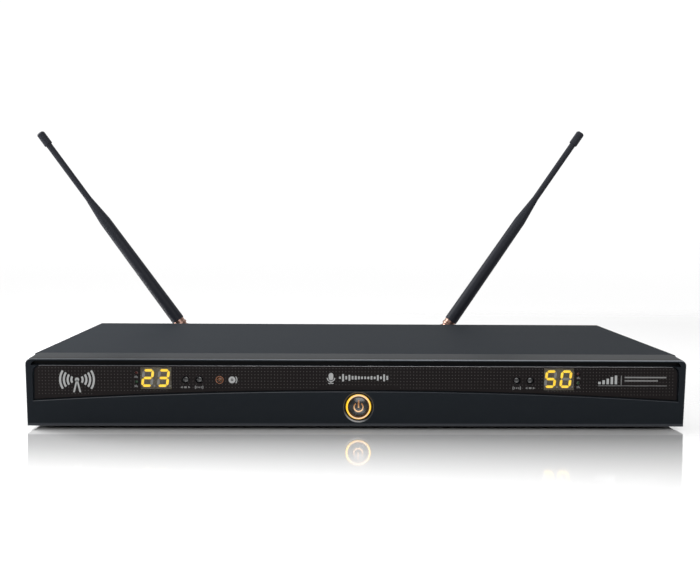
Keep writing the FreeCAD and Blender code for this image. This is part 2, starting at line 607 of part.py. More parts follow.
def makeRearSockets():
    hexagon = doc.addObject("Part::Prism", "jack_nut_blank")
    hexagon.Polygon = 6
    hexagon.Placement = Placement(Vector(), Rotation(Vector(0, 0, 1), Vector(0, 1, 0)))
    bind(hexagon, Circumradius=7.5, Height="nutHeight")
    bore = rod("jack_nut_bore", "jackThread + 0.1", 4, (0, 1, 0))
    place(bore, 0, -1, 0)
    nut = cut("jack_nut", hexagon, [bore])
    for side, x in (("left", "leftJackX"), ("right", "rightJackX")):
        barrel = turned("antenna_jack_%s_barrel" % side, "Y", [
            (-10, 2.4), (-10, "jackThread"), (0, "jackThread"), (0, 7), (1.2, 7),
            (1.2, "jackBarrel"), (11.5, "jackBarrel"), (11.5, "jackMouth"), (2.2, "jackMouth"),
            (2.2, 2.4)])
        stud = rod("antenna_jack_%s_studs" % side, 0.95, 12, (1, 0, 0))
        place(stud, -6, 8, 0)
        clear = rod("antenna_jack_%s_clear" % side, "jackMouth", 20, (0, 1, 0))
        place(clear, 0, 2.2, 0)
        studs = cut("antenna_jack_%s_stud_pair" % side, stud, [clear])
        jack = join("antenna_jack_" + side, [barrel, studs])
        node(place(jack, x, "halfDepth", "socketZ"))
    core = turned("insulator", "Y", [(-13, 0), (-13, 2.3), (8, 2.3), (8, 0.72), (-4, 0.72), (-4, 0)])
    jackSpots = [("leftJackX", "halfDepth", "socketZ"), ("rightJackX", "halfDepth", "socketZ")]
    node(copies("jack_insulators", core, jackSpots))
    node(copies("jack_nuts", nut, [(x, "halfDepth - steel - nutHeight", z) for x, y, z in jackSpots]))

    shellBlank = block("xlr_flange", (-13, 0, -15.5), (13, 2, 15.5))
    tube = rod("xlr_tube", "xlrBody", 21, (0, 1, 0))
    place(tube, 0, -21, 0)
    hollow = rod("xlr_hollow", "xlrCavity", 30, (0, 1, 0))
    place(hollow, 0, -25, 0)
    holes = [hollow]
    for sign in ("-", ""):
        hole = rod("xlr_hole%d" % len(holes), "screwClearance", 6, (0, 1, 0))
        other = "" if sign == "-" else "-"
        holes.append(place(hole, sign + "xlrScrewX", -2, other + "xlrScrewZ"))
    shell = cut("xlr_shell", join("xlr_solid", [shellBlank, tube]), holes)
    xlrSpots = [("leftXlrX", "halfDepth", "socketZ"), ("rightXlrX", "halfDepth", "socketZ")]
    node(copies("xlr_shells", shell, xlrSpots))
    disc = rod("xlr_disc", "xlrCavity - 0.05", 6, (0, 1, 0))
    place(disc, 0, -21, 0)
    pins = []
    pinHoles = []
    for number, angle in enumerate((150, 30, 270)):
        dx = "pinCircle * %.5f" % math.cos(math.radians(angle))
        dz = "pinCircle * %.5f" % math.sin(math.radians(angle))
        pins.append(place(rod("xlr_pin_%d" % number, "pinRadius", 24, (0, 1, 0)), dx, -25, dz))
        hole = rod("xlr_pin_hole_%d" % number, "pinRadius + 0.05", 10, (0, 1, 0))
        pinHoles.append(place(hole, dx, -23, dz))
    node(copies("xlr_inserts", cut("xlr_insert", disc, pinHoles), xlrSpots))
    node(copies("xlr_pins", group("xlr_pin_set", pins), xlrSpots))
    backward = Rotation(Vector(1, 0, 0), -90)
    screwSpots = []
    for x in ("leftXlrX", "rightXlrX"):
        screwSpots.append((x + " - xlrScrewX", "halfDepth + 2", "socketZ + xlrScrewZ", backward))
        screwSpots.append((x + " + xlrScrewX", "halfDepth + 2", "socketZ - xlrScrewZ", backward))
    node(copies("xlr_screws", shortScrew, screwSpots))

    mixBody = block("mix_jack_body", (-8, -29, -8), (8, "-steel", 8))
    thread = rod("mix_jack_thread", "mixThread", "steel + 5", (0, 1, 0))
    place(thread, 0, "-steel", 0)
    mixHollow = rod("mix_jack_hollow", "mixBore", 32, (0, 1, 0))
    place(mixHollow, 0, -27, 0)
    mix = cut("mix_jack", join("mix_jack_solid", [mixBody, thread]), [mixHollow])
    node(place(mix, "mixX", "halfDepth", "socketZ"))
    mixHexagon = doc.addObject("Part::Prism", "mix_nut_blank")
    mixHexagon.Polygon = 6
    mixHexagon.Placement = Placement(Vector(), Rotation(Vector(0, 0, 1), Vector(0, 1, 0)))
    bind(mixHexagon, Circumradius=8, Height="nutHeight")
    mixNutBore = rod("mix_nut_bore", "mixThread + 0.1", 6, (0, 1, 0))
    place(mixNutBore, 0, -1, 0)
    mixNut = cut("mix_jack_nut", mixHexagon, [mixNutBore])
    node(place(mixNut, "mixX", "halfDepth", "socketZ"))

    dcBody = block("dc_body", (-4.5, -15, "mainBoardZ + boardThickness - dcZ"), (4.5, "-steel", 5))
    collar = rod("dc_collar", "dcBore + 0.5", "steel + 0.6", (0, 1, 0))
    place(collar, 0, "-steel", 0)
    dcHollow = rod("dc_hollow", "dcBore", 11, (0, 1, 0))
    place(dcHollow, 0, -9.5, 0)
    shellPart = cut("dc_shell", join("dc_solid", [dcBody, collar]), [dcHollow])
    dcPin = rod("dc_pin", 1, 10, (0, 1, 0))
    place(dcPin, 0, -10.5, 0)
    node(place(join("dc_inlet", [shellPart, dcPin]), "dcX", "halfDepth", "dcZ"))


# ---- antennas ----

def makeAntenna(side, x, lean):
    """One whip antenna, built upright about its pivot and then leant in its own plane."""
    pivot = "halfDepth + pivotBehind"
    tilt = Rotation(Vector(0, 1, 0), lean)

    def lay(item):
        item.Placement = Placement(Vector(), tilt)
        return node(place(item, x, pivot, "socketZ"))

    ring = turned("bayonet_ring_%s_blank" % side, "Y", [
        (2.4, 4.95), (2.4, 7), (3, 7.4), (13, 7.4), (13.8, 6.8), (13.8, 4.1), (12.4, 4.1),
        (12.4, 4.95), (9.4, 4.95), (9.4, 6.3), (6.7, 6.3), (6.7, 4.95)])
    entry = block("bayonet_ring_%s_entry" % side, (-1.25, 2, -6.3), (1.25, 8, 6.3))
    slotted = cut("bayonet_ring_" + side, ring, [entry])
    node(place(slotted, x, "halfDepth", "socketZ"))

    # the plug's barrel slips over the jack's insulator and carries the hinge fork
    barrel = turned("antenna_plug_%s_barrel" % side, "Y", [
        (-24.3, 2.45), (-24.3, 3.95), (-12.8, 3.95), (-12.8, 6), (-8.6, 6), (-7.6, 5.2),
        (-7.6, 0), (-11, 0), (-11, 2.45)])
    ears = []
    for sign, low in (("inner", -5), ("outer", 2.3)):
        plate = block("antenna_plug_%s_%s_plate" % (side, sign), (low, -8, -4.6), (low + 2.7, 0, 4.6))
        end = rod("antenna_plug_%s_%s_end" % (side, sign), 4.6, 2.7, (1, 0, 0))
        place(end, low, 0, 0)
        ears += [plate, end]
    bore = rod("antenna_plug_%s_bore" % side, "hingePin", 14, (1, 0, 0))
    place(bore, -7, 0, 0)
    lay(cut("antenna_plug_" + side, join("antenna_plug_%s_solid" % side, [barrel] + ears), [bore]))
    contact = turned("plug_contact_" + side, "Y", [
        (-30, 0), (-29.4, 0.65), (-19, 0.65), (-19, 0.9), (-11, 0.9), (-11, 0)])
    lay(contact)
    pin = rod("hinge_pin_%s_shank" % side, "hingePin", 11, (1, 0, 0))
    place(pin, -5.5, 0, 0)
    heads = []
    for number, low in enumerate((-5.9, 5)):
        head = rod("hinge_pin_%s_head_%d" % (side, number), 2.1, 0.9, (1, 0, 0))
        heads.append(place(head, low, 0, 0))
    lay(join("hinge_pin_" + side, [pin] + heads))

    # tongue and ribbed ferrule in one turned piece
    ferrule = turned("antenna_elbow_%s_ferrule" % side, "Z", [
        (5.8, 0), (5.8, 4.4), (6.6, 5.2), (11.8, 5.2), (12.6, 4.4), (13.8, 4.4),
        (14.4, 5.5), (15.8, 5.5), (16.4, 4.6), (17.8, 4.6), (18.4, 5.5), (19.8, 5.5),
        (20.4, 4.6), (21.8, 4.6), (22.4, 5.5), (23.8, 5.5), (24.4, 5), ("sleeveBase", 5),
        ("sleeveBase", 3), ("sleeveBase + 8", 3), ("sleeveBase + 8", 0)])
    tongue = block("antenna_elbow_%s_tongue" % side, (-2.2, -4.4, 0), (2.2, 4.4, 7))
    knuckle = rod("antenna_elbow_%s_knuckle" % side, 4.4, 4.4, (1, 0, 0))
    place(knuckle, -2.2, 0, 0)
    pinBore = rod("antenna_elbow_%s_pin_bore" % side, "hingePin + 0.05", 8, (1, 0, 0))
    place(pinBore, -4, 0, 0)
    wireBore = rod("antenna_elbow_%s_wire_bore" % side, 1.1, 30)
    place(wireBore, 0, 0, 12)
    solid = join("antenna_elbow_%s_solid" % side, [ferrule, tongue, knuckle])
    lay(cut("antenna_elbow_" + side, solid, [pinBore, wireBore]))
    sleeve = turned("antenna_sleeve_" + side, "Z", [
        ("sleeveBase", 3.1), ("sleeveBase", 5.3), ("sleeveBase + 0.4", 5.6),
        ("sleeveBase + 107", 4.8), ("sleeveBase + 131", 2.65), ("whipTop - 7.5", 2.65),
        ("whipTop - 7.5", 1.1), ("sleeveBase + 8.1", 1.1), ("sleeveBase + 8.1", 3.1)])
    lay(sleeve)
    lay(turned("antenna_core_" + side, "Z", [(12.2, 0), (12.2, 1), (217.2, 1), (217.2, 0)]))
    cap = turned("antenna_tip_" + side, "Z", [
        ("whipTop - 12.3", 2.7), ("whipTop - 12.3", 3.4), ("whipTop - 12", 3.55),
        ("whipTop - 1", 3.5), ("whipTop", 2.6), ("whipTop", 0), ("whipTop - 7.4", 0),
        ("whipTop - 7.4", 2.7)])
    lay(cap)


sideScrewRows = (-30, 25, 80)
screw = turned("screw", "Z", [(-5.5, 0), (-5.5, 1.1), (-5, 1.4), (0, 1.4), (0, 2.8),
                              (0.9, 2.6), (1.5, 1.8), (1.7, 0)])
shortScrew = turned("short_screw", "Z", [(-4, 0), (-4, 1.1), (-3.6, 1.4), (0, 1.4), (0, 2.7),
                                         (0.9, 2.5), (1.5, 1.7), (1.7, 0)])

makeBasePan()
makeTopCover()
makeFeetAndScrews()
makeBezel()
makeWindow()
makeControls()
makeFrontBoard()
makeMainBoard()
makeRearSockets()
makeAntenna("left", "leftJackX", sizes["leftLean"])
makeAntenna("right", "rightJackX", sizes["rightLean"])
doc.recompute()

for item in doc.Objects:
    if "Invalid" in item.State or "Error" in item.State:
        raise RuntimeError("%s failed: %s" % (item.Name, item.State))
os.makedirs("parts", exist_ok=True)
for item in nodes:
    shape = item.Shape
    if shape.isNull() or not shape.isValid():
        raise RuntimeError(item.Label + " has no valid shape")
    shape.exportStep("parts/%s.step" % item.Label)
print("%d pieces written" % len(nodes))
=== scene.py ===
import bmesh
import bpy
import math
from mathutils import Matrix, Vector


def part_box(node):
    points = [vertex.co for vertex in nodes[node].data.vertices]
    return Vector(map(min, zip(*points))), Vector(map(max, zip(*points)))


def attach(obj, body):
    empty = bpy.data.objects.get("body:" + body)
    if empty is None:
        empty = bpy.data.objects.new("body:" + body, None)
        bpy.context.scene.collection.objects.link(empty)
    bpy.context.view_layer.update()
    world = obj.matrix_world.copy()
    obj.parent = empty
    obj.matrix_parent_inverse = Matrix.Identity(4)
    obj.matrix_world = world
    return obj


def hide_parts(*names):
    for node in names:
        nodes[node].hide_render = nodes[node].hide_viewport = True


# A twin wireless microphone receiver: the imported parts, dressed and finished for a picture.

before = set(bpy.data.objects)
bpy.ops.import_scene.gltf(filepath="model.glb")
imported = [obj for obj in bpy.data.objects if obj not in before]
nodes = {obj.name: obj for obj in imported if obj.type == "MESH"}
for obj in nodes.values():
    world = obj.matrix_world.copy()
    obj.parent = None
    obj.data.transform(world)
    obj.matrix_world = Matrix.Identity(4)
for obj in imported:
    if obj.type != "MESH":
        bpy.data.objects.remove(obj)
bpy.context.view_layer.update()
scene = bpy.context.scene
mm = 0.001
print("frame loaded:", len(nodes), "parts")


def middle(name):
    low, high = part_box(name)
    return (low + high) / 2


# ---- shader maths and materials ----

class Value:
    # one number inside a node tree, so that its maths reads as a sum
    def __init__(self, graph, socket):
        self.graph = graph
        self.socket = socket

    def maths(self, operation, other, swap=False):
        pair = {0: other, 1: self} if swap else {0: self, 1: other}
        return self.graph.node("ShaderNodeMath", {"operation": operation}, pair)

    def __add__(self, other):
        return self.maths("ADD", other)

    def __radd__(self, other):
        return self.maths("ADD", other, True)

    def __sub__(self, other):
        return self.maths("SUBTRACT", other)

    def __rsub__(self, other):
        return self.maths("SUBTRACT", other, True)

    def __mul__(self, other):
        return self.maths("MULTIPLY", other)

    def __rmul__(self, other):
        return self.maths("MULTIPLY", other, True)

    def __truediv__(self, other):
        return self.maths("DIVIDE", other)

    def __pow__(self, other):
        return self.maths("POWER", other)

    def __gt__(self, other):
        return self.maths("GREATER_THAN", other)

    def __lt__(self, other):
        return self.maths("LESS_THAN", other)


class Graph:
    # a node tree being built
    def __init__(self, tree):
        self.tree = tree

    def connect(self, socket, value):
        if isinstance(value, Value):
            self.tree.links.new(value.socket, socket)
        else:
            socket.default_value = value

    def node(self, kind, settings, inputs, out=0):
        made = self.tree.nodes.new(kind)
        for key, value in settings.items():
            setattr(made, key, value)
        for key, value in inputs.items():
            self.connect(made.inputs[key], value)
        return Value(self, made.outputs[out])

    def mix(self, factor, first, second):
        return self.node("ShaderNodeMix", {"data_type": "RGBA"}, {0: factor, 6: first, 7: second}, 2)

    def between(self, value, low, high):
        # spreads a value that runs from 0 to 1 over a new range
        return self.node("ShaderNodeMapRange", {}, {0: value, 3: low, 4: high})

    def share(self, value, start, stop):
        # how far a value has come from start to stop, eased and held between 0 and 1
        eased = {"interpolation_type": "SMOOTHSTEP"}
        return self.node("ShaderNodeMapRange", eased, {0: value, 1: start, 2: stop})


class Paint(Graph):
    # a material being built, ending in one Principled shader
    def __init__(self, name):
        self.material = bpy.data.materials.new(name)
        self.material.use_nodes = True
        super().__init__(self.material.node_tree)
        self.tree.nodes.clear()
        self.shader = self.tree.nodes.new("ShaderNodeBsdfPrincipled")
        output = self.tree.nodes.new("ShaderNodeOutputMaterial")
        self.tree.links.new(self.shader.outputs[0], output.inputs[0])
        self.place = self.node("ShaderNodeTexCoord", {}, {}, "Object")

    def set(self, **inputs):
        for key, value in inputs.items():
            self.connect(self.shader.inputs[key.replace("_", " ")], value)
        return self

    def noise(self, scale, detail=3.0, where=None):
        spot = {"Vector": where or self.place, "Scale": scale, "Detail": detail}
        return self.node("ShaderNodeTexNoise", {}, spot)

    def axis(self, letter):
        return self.node("ShaderNodeSeparateXYZ", {}, {0: self.place}, letter)

    def bump(self, height, distance, strength=1.0):
        wanted = {"Height": height, "Distance": distance, "Strength": strength}
        self.set(Normal=self.node("ShaderNodeBump", {}, wanted))
        return self


def colour(red, green, blue):
    return (red, green, blue, 1.0)


def coated(name, look):
    # one even material with the small unevenness that a real finish has
    paint = Paint(name)
    base = look["colour"]
    spread = look.get("spread", 0.12)
    darker = colour(*[channel * (1 - spread) for channel in base[:3]])
    lighter = colour(*[channel * (1 + spread) for channel in base[:3]])
    patches = paint.noise(look.get("patch", 30.0), 4.0)
    grain = paint.noise(look.get("grain", 2500.0), 2.0)
    paint.set(Base_Color=paint.mix(patches * 0.6 + grain * 0.4, darker, lighter))
    rough = look["rough"]
    wander = look.get("wander", 0.06)
    paint.set(Roughness=paint.between(patches * 0.5 + grain * 0.5, rough - wander, rough + wander))
    paint.bump(grain, look.get("depth", 0.02) * mm, look.get("strength", 0.6))
    fixed = {"Metallic": look.get("metal", 0.0), "Specular IOR Level": look.get("specular", 0.5),
             "Coat Weight": look.get("coat", 0.0)}
    for socket, value in fixed.items():
        paint.shader.inputs[socket].default_value = value
    if "coatRough" in look:
        paint.shader.inputs["Coat Roughness"].default_value = look["coatRough"]
    return paint


def glowing(name, look):
    # a lamp or lit mark: its colour wanders a little from warm to pale
    paint = Paint(name)
    patches = paint.noise(look.get("patch", 180.0), 2.0)
    paint.set(Base_Color=paint.mix(patches, look["colour"], look["pale"]))
    paint.set(Emission_Color=paint.mix(patches, look["colour"], look["pale"]))
    paint.set(Roughness=paint.between(patches, 0.25, 0.4))
    paint.shader.inputs["Emission Strength"].default_value = look["glow"]
    return paint


def brushed(name, look):
    # fine turning or drawing marks, stretched along one axis
    paint = Paint(name)
    stretch = paint.node("ShaderNodeMapping", {}, {"Vector": paint.place, "Scale": look["stretch"]})
    lines = paint.noise(look.get("grain", 900.0), 3.0, stretch)
    patches = paint.noise(60.0, 3.0)
    base = look["colour"]
    darker = colour(*[channel * 0.78 for channel in base[:3]])
    paint.set(Base_Color=paint.mix(lines * 0.6 + patches * 0.4, darker, base))
    rough = look["rough"]
    paint.set(Roughness=paint.between(lines, rough - 0.08, rough + 0.1))
    paint.bump(lines, 0.01 * mm, 0.5)
    paint.shader.inputs["Metallic"].default_value = look.get("metal", 1.0)
    return paint


def makeMaterials():
    looks = {
        "casePaint": {"colour": colour(0.0163, 0.0194, 0.0235), "rough": 0.66, "grain": 1800.0,
                      "depth": 0.03, "specular": 0.022, "patch": 9.0, "spread": 0.08},
        "footRubber": {"colour": colour(0.012, 0.012, 0.012), "rough": 0.75, "grain": 1500.0,
                       "depth": 0.05, "patch": 90.0},
        "buttonGloss": {"colour": colour(0.008, 0.008, 0.009), "rough": 0.24, "grain": 900.0,
                        "depth": 0.002, "wander": 0.04, "coat": 0.25, "coatRough": 0.16},
        "displayFace": {"colour": colour(0.088, 0.074, 0.048), "rough": 0.55, "grain": 2600.0,
                        "depth": 0.01, "patch": 120.0},
        "segmentOff": {"colour": colour(0.24, 0.245, 0.235), "rough": 0.4, "patch": 200.0},
        "printWhite": {"colour": colour(0.31, 0.315, 0.315), "rough": 0.55, "patch": 150.0,
                       "grain": 4000.0, "depth": 0.004},
        "printDim": {"colour": colour(0.15, 0.15, 0.15), "rough": 0.6, "patch": 150.0,
                     "grain": 4000.0, "depth": 0.004},
        "printAmber": {"colour": colour(0.24, 0.085, 0.035), "rough": 0.5, "patch": 150.0},
        "windowDot": {"colour": colour(0.0172, 0.0132, 0.0115), "rough": 0.5, "patch": 40.0},
        # painted highlight: the window's top edge is coloured light grey
        "windowEdge": {"colour": colour(0.17, 0.17, 0.18), "rough": 0.25, "patch": 60.0,
                       "coat": 0.4},
        "blackPlastic": {"colour": colour(0.014, 0.014, 0.015), "rough": 0.42, "patch": 80.0},
        "whipRubber": {"colour": colour(0.0145, 0.0158, 0.0215), "rough": 0.5, "grain": 1500.0,
                       "depth": 0.02, "patch": 70.0, "wander": 0.06, "specular": 0.14},
        "whiteInsulator": {"colour": colour(0.72, 0.72, 0.68), "rough": 0.45, "patch": 120.0},
        "leadSheath": {"colour": colour(0.30, 0.15, 0.05), "rough": 0.35, "patch": 200.0},
        "capacitorSleeve": {"colour": colour(0.012, 0.018, 0.08), "rough": 0.28, "coat": 0.4},
        "screwBlack": {"colour": colour(0.035, 0.035, 0.038), "rough": 0.32, "metal": 0.85,
                       "patch": 300.0, "spread": 0.3},
        "xlrCoat": {"colour": colour(0.016, 0.016, 0.017), "rough": 0.38, "grain": 1600.0,
                    "depth": 0.03},
    }
    made = {name: coated(name, look).material for name, look in looks.items()}
    metals = {
        "nickelPlate": {"colour": colour(0.62, 0.60, 0.57), "rough": 0.24, "stretch": (1, 12, 1)},
        "silverPlate": {"colour": colour(0.72, 0.70, 0.64), "rough": 0.22, "stretch": (1, 10, 1)},
        "ferruleBrass": {"colour": colour(0.30, 0.185, 0.15), "rough": 0.36, "stretch": (1, 1, 9)},
        "spacerBrass": {"colour": colour(0.70, 0.50, 0.22), "rough": 0.28, "stretch": (1, 1, 8)},
        "tinnedCan": {"colour": colour(0.58, 0.58, 0.56), "rough": 0.34, "stretch": (0.2, 6, 1)},
        "sinkAluminium": {"colour": colour(0.42, 0.42, 0.43), "rough": 0.36, "stretch": (6, 6, 0.3)},
        "springSteel": {"colour": colour(0.5, 0.5, 0.5), "rough": 0.3, "stretch": (1, 1, 0.2)},
    }
    made.update({name: brushed(name, look).material for name, look in metals.items()})
    lights = {
        "segmentLit": {"colour": colour(0.90, 0.52, 0.012), "pale": colour(0.98, 0.70, 0.06), "glow": 0.72},
        "lampRed": {"colour": colour(0.075, 0.012, 0.010), "pale": colour(0.10, 0.02, 0.015), "glow": 0.3},
        "lampGreen": {"colour": colour(0.010, 0.055, 0.015), "pale": colour(0.02, 0.075, 0.03), "glow": 0.3},
        "irAmber": {"colour": colour(0.16, 0.055, 0.02), "pale": colour(0.22, 0.09, 0.04), "glow": 0.1},
    }
    made.update({name: glowing(name, look).material for name, look in lights.items()})
    made["bezelPlastic"] = makeBezelPlasticWithPaintedLight()
    made["windowSmoke"] = makeWindowSmoke()
    made["clearLens"] = makeClearLens()
    made["lightGuide"] = makeLightGuide()
    made["symbolLit"] = makeSymbolGlow()
    made["boardMask"] = makeBoardMask()
    made["ribbonStripes"] = makeRibbonStripes()
    return made


# where each painted highlight and the painted shade on the bezel begin and are whole, in millimetres
bezelZones = {"rimFront": (0.02, 0.1), "rimBack": (0.5, 0.8), "upper": (44.9, 45.6),
              "rightward": (-150, 120), "foot": (1.6, 2.2), "dishInside": (8.9, 9.4),
              "dishOutside": (9.7, 10.2), "lowerLeft": (5.5, 10.5), "grooveFront": (0.9, 1.6),
              "grooveLow": (42.0, 42.6), "grooveBack": (3.6, 4.2)}


def makeBezelPlasticWithPaintedLight():
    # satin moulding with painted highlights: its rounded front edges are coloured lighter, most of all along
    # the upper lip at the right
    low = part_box("front_bezel")[0]
    paint = coated("bezelPlastic", {
        "colour": colour(0.0088, 0.0112, 0.0142), "rough": 0.36, "grain": 3000.0,
        "depth": 0.012, "specular": 0.06, "patch": 14.0})
    x = paint.axis("X")
    z = paint.axis("Z")
    depth = paint.axis("Y") - low.y

    def fade(value, key):
        # eased from 0 to 1 between the two named distances
        start, stop = bezelZones[key]
        return paint.share(value, start * mm, stop * mm)

    nearFront = 1 - fade(depth, "rimBack")
    rim = fade(depth, "rimFront") * nearFront
    upper = fade(z, "upper")
    rightward = fade(x, "rightward")
    plain = Value(paint, paint.shader.inputs["Base Color"].links[0].from_socket)
    # painted highlight: the rounded front edges lighter, the upper lip much lighter and most of all towards
    # the right
    edged = paint.mix(rim, plain, colour(0.040, 0.045, 0.053))
    lit = paint.mix(rim * upper * (0.15 + 0.85 * rightward), edged, colour(0.17, 0.185, 0.205))
    # painted highlight: the bottom of the front rim coloured lighter
    foot = (1 - fade(z - low.z, "foot")) * nearFront
    lit = paint.mix(foot, lit, colour(0.034, 0.037, 0.043))
    # painted highlight on the lower left wall of the dish around the ring
    drop = z - middle("power_light_ring").z
    radius = (x * x + drop * drop) ** 0.5
    wall = fade(radius, "dishInside") * (1 - fade(radius, "dishOutside"))
    lowerLeft = fade(drop * -1 - x * 0.35, "lowerLeft")
    paintedLightAndShade = paint.mix(wall * lowerLeft, lit, colour(0.30, 0.31, 0.33))
    # painted shade: the groove above the window is coloured near-black
    groove = fade(depth, "grooveFront") * fade(z, "grooveLow") * (1 - fade(depth, "grooveBack"))
    paintedLightAndShade = paint.mix(groove, paintedLightAndShade, colour(0.0015, 0.0017, 0.002))
    paint.set(Base_Color=paintedLightAndShade, Coat_Weight=rim * 0.6)
    paint.shader.inputs["Coat Roughness"].default_value = 0.22
    return paint.material


def makeWindowSmoke():
    # smoked acrylic over a dark print, with the faintest cloudiness
    paint = Paint("windowSmoke")
    cloud = paint.noise(22.0, 4.0)
    fine = paint.noise(1400.0, 2.0)
    paint.set(Base_Color=paint.mix(cloud, colour(0.0068, 0.0052, 0.0054), colour(0.0090, 0.0072, 0.0074)))
    paint.set(Roughness=paint.between(cloud * 0.6 + fine * 0.4, 0.16, 0.26))
    paint.bump(fine, 0.003 * mm, 0.4)
    paint.shader.inputs["Specular IOR Level"].default_value = 0.08
    return paint.material


def makeClearLens():
    paint = Paint("clearLens")
    cloud = paint.noise(90.0, 3.0)
    paint.set(Base_Color=paint.mix(cloud, colour(0.03, 0.026, 0.024), colour(0.045, 0.04, 0.036)))
    paint.set(Roughness=paint.between(cloud, 0.08, 0.14), Alpha=paint.between(cloud, 0.10, 0.14))
    return paint.material


def makeLightGuide():
    # the ring glows deep yellow at its sides and outer edge, paler between, dim at its inner edge
    paint = Paint("lightGuide")
    x = paint.axis("X")
    drop = paint.axis("Z") - middle("power_light_ring").z
    radius = (x * x + drop * drop) ** 0.5
    patches = paint.noise(220.0, 2.0)
    sideways = paint.share(x * x, (4.5 * mm) ** 2, (8.2 * mm) ** 2) * 0.75
    outer = paint.share(radius, 7.5 * mm, 8.1 * mm) * 0.6
    left = paint.share(x * -1, 2 * mm, 8 * mm) * 0.4
    deep = sideways + outer + left + patches * 0.15
    glow = paint.mix(deep, colour(0.58, 0.39, 0.27), colour(0.80, 0.46, 0.012))
    edged = paint.mix(paint.share(radius, 6.9 * mm, 7.3 * mm), colour(0.045, 0.02, 0.004), glow)
    paint.set(Base_Color=edged, Emission_Color=edged, Roughness=paint.between(patches, 0.2, 0.35))
    paint.shader.inputs["Emission Strength"].default_value = 0.92
    return paint.material


def makeSymbolGlow():
    # the power mark is dull at its top and glows most along its lower curve
    paint = Paint("symbolLit")
    drop = middle("power_button").z - paint.axis("Z")
    patches = paint.noise(260.0, 2.0)
    lower = paint.share(drop, -2.5 * mm, 3.2 * mm)
    warm = paint.mix(patches, colour(0.20, 0.075, 0.015), colour(0.26, 0.11, 0.03))
    glow = paint.mix(lower, warm, colour(0.74, 0.47, 0.25))
    paint.set(Base_Color=glow, Emission_Color=glow, Roughness=paint.between(patches, 0.25, 0.4))
    paint.shader.inputs["Emission Strength"].default_value = 0.5
    return paint.material


def makeBoardMask():
    # green solder mask with darker lanes where tracks run under it
    paint = Paint("boardMask")
    bricks = {"Vector": paint.place, "Scale": 160.0, "Mortar Size": 0.035, "Mortar Smooth": 0.1,
              "Color1": colour(0.008, 0.07, 0.022), "Color2": colour(0.010, 0.09, 0.03),
              "Mortar": colour(0.02, 0.16, 0.05)}
    tracks = paint.node("ShaderNodeTexBrick", {}, bricks)
    cloud = paint.noise(50.0, 3.0)
    paint.set(Base_Color=paint.mix(cloud * 0.4, tracks, colour(0.006, 0.05, 0.018)))
    paint.set(Roughness=paint.between(cloud, 0.28, 0.42))
    return paint.material


def makeRibbonStripes():
    paint = Paint("ribbonStripes")
    wave = paint.node("ShaderNodeTexWave", {"bands_direction": "X"},
                      {"Vector": paint.place, "Scale": 250.0})
    paint.set(Base_Color=paint.mix(wave, colour(0.30, 0.30, 0.31), colour(0.52, 0.52, 0.53)))
    paint.set(Roughness=paint.between(wave, 0.45, 0.6))
    paint.bump(wave, 0.2 * mm, 0.6)
    return paint.material


materials = makeMaterials()
print("materials made:", len(materials))

nodeFinish = {
    "casePaint": ["base_pan", "top_cover"],
    "bezelPlastic": ["front_bezel"],
    "windowSmoke": ["display_window"],
    "lightGuide": ["power_light_ring"],
    "buttonGloss": ["power_button", "select_button_left", "sync_button_left",
                    "select_button_right", "sync_button_right"],
    "displayFace": ["digit_display_left", "digit_display_right"],
    "lampRed": ["rf_lamps"],
    "lampGreen": ["af_lamps"],
    "irAmber": ["ir_emitter"],
    "blackPlastic": ["push_switches", "chips", "voltage_regulator", "xlr_inserts", "mix_jack",
                     "dc_inlet"],
    "footRubber": ["rubber_feet"],
    "screwBlack": ["foot_screws", "case_screws", "board_screws", "xlr_screws"],
    "boardMask": ["display_board", "main_board"],
    "spacerBrass": ["board_standoffs"],
    "tinnedCan": ["receiver_module_left", "receiver_module_right"],
    "leadSheath": ["antenna_lead_left", "antenna_lead_right"],
    "ribbonStripes": ["ribbon_cable"],
    "capacitorSleeve": ["capacitors"],
    "sinkAluminium": ["heat_sink"],
    "nickelPlate": ["antenna_jack_left", "antenna_jack_right", "jack_nuts", "mix_jack_nut",
                    "bayonet_ring_left", "bayonet_ring_right", "antenna_plug_left",
                    "antenna_plug_right", "hinge_pin_left", "hinge_pin_right"],
    "whiteInsulator": ["jack_insulators"],
    "xlrCoat": ["xlr_shells"],
    "silverPlate": ["xlr_pins", "plug_contact_left", "plug_contact_right"],
    "whipRubber": ["antenna_sleeve_left", "antenna_sleeve_right", "antenna_tip_left",
                   "antenna_tip_right"],
    "ferruleBrass": ["antenna_elbow_left", "antenna_elbow_right"],
    "springSteel": ["antenna_core_left", "antenna_core_right"],
}
for finish, names in nodeFinish.items():
    for name in names:
        mesh = nodes[name].data
        mesh.materials.clear()
        mesh.materials.append(materials[finish])


# ---- making pieces ----

def makePiece(name, bm, finishes, smoothAngle=30):
    mesh = bpy.data.meshes.new(name)
    bm.to_mesh(mesh)
    bm.free()
    mesh.shade_smooth()
    mesh.set_sharp_from_angle(angle=math.radians(smoothAngle))
    piece = bpy.data.objects.new(name, mesh)
    scene.collection.objects.link(piece)
    for finish in finishes:
        mesh.materials.append(materials[finish])
    return piece


def prism(bm, outline, front, back, slot=0):
    # a flat shape facing the front, drawn as (x, z) points in millimetres
    fore = [bm.verts.new((x * mm, front, z * mm)) for x, z in outline]
    rear = [bm.verts.new((x * mm, back, z * mm)) for x, z in outline]
    count = len(outline)
    faces = [bm.faces.new(fore), bm.faces.new(rear[::-1])]
    for i in range(count):
        j = (i + 1) % count
        faces.append(bm.faces.new((fore[j], fore[i], rear[i], rear[j])))
    for face in faces:
        face.material_index = slot
    bmesh.ops.recalc_face_normals(bm, faces=faces)


def arcPoints(x, z, radius, start, stop, steps):
    points = []
    for i in range(steps + 1):
        angle = math.radians(start + (stop - start) * i / steps)
        points.append((x + radius * math.cos(angle), z + radius * math.sin(angle)))
    return points


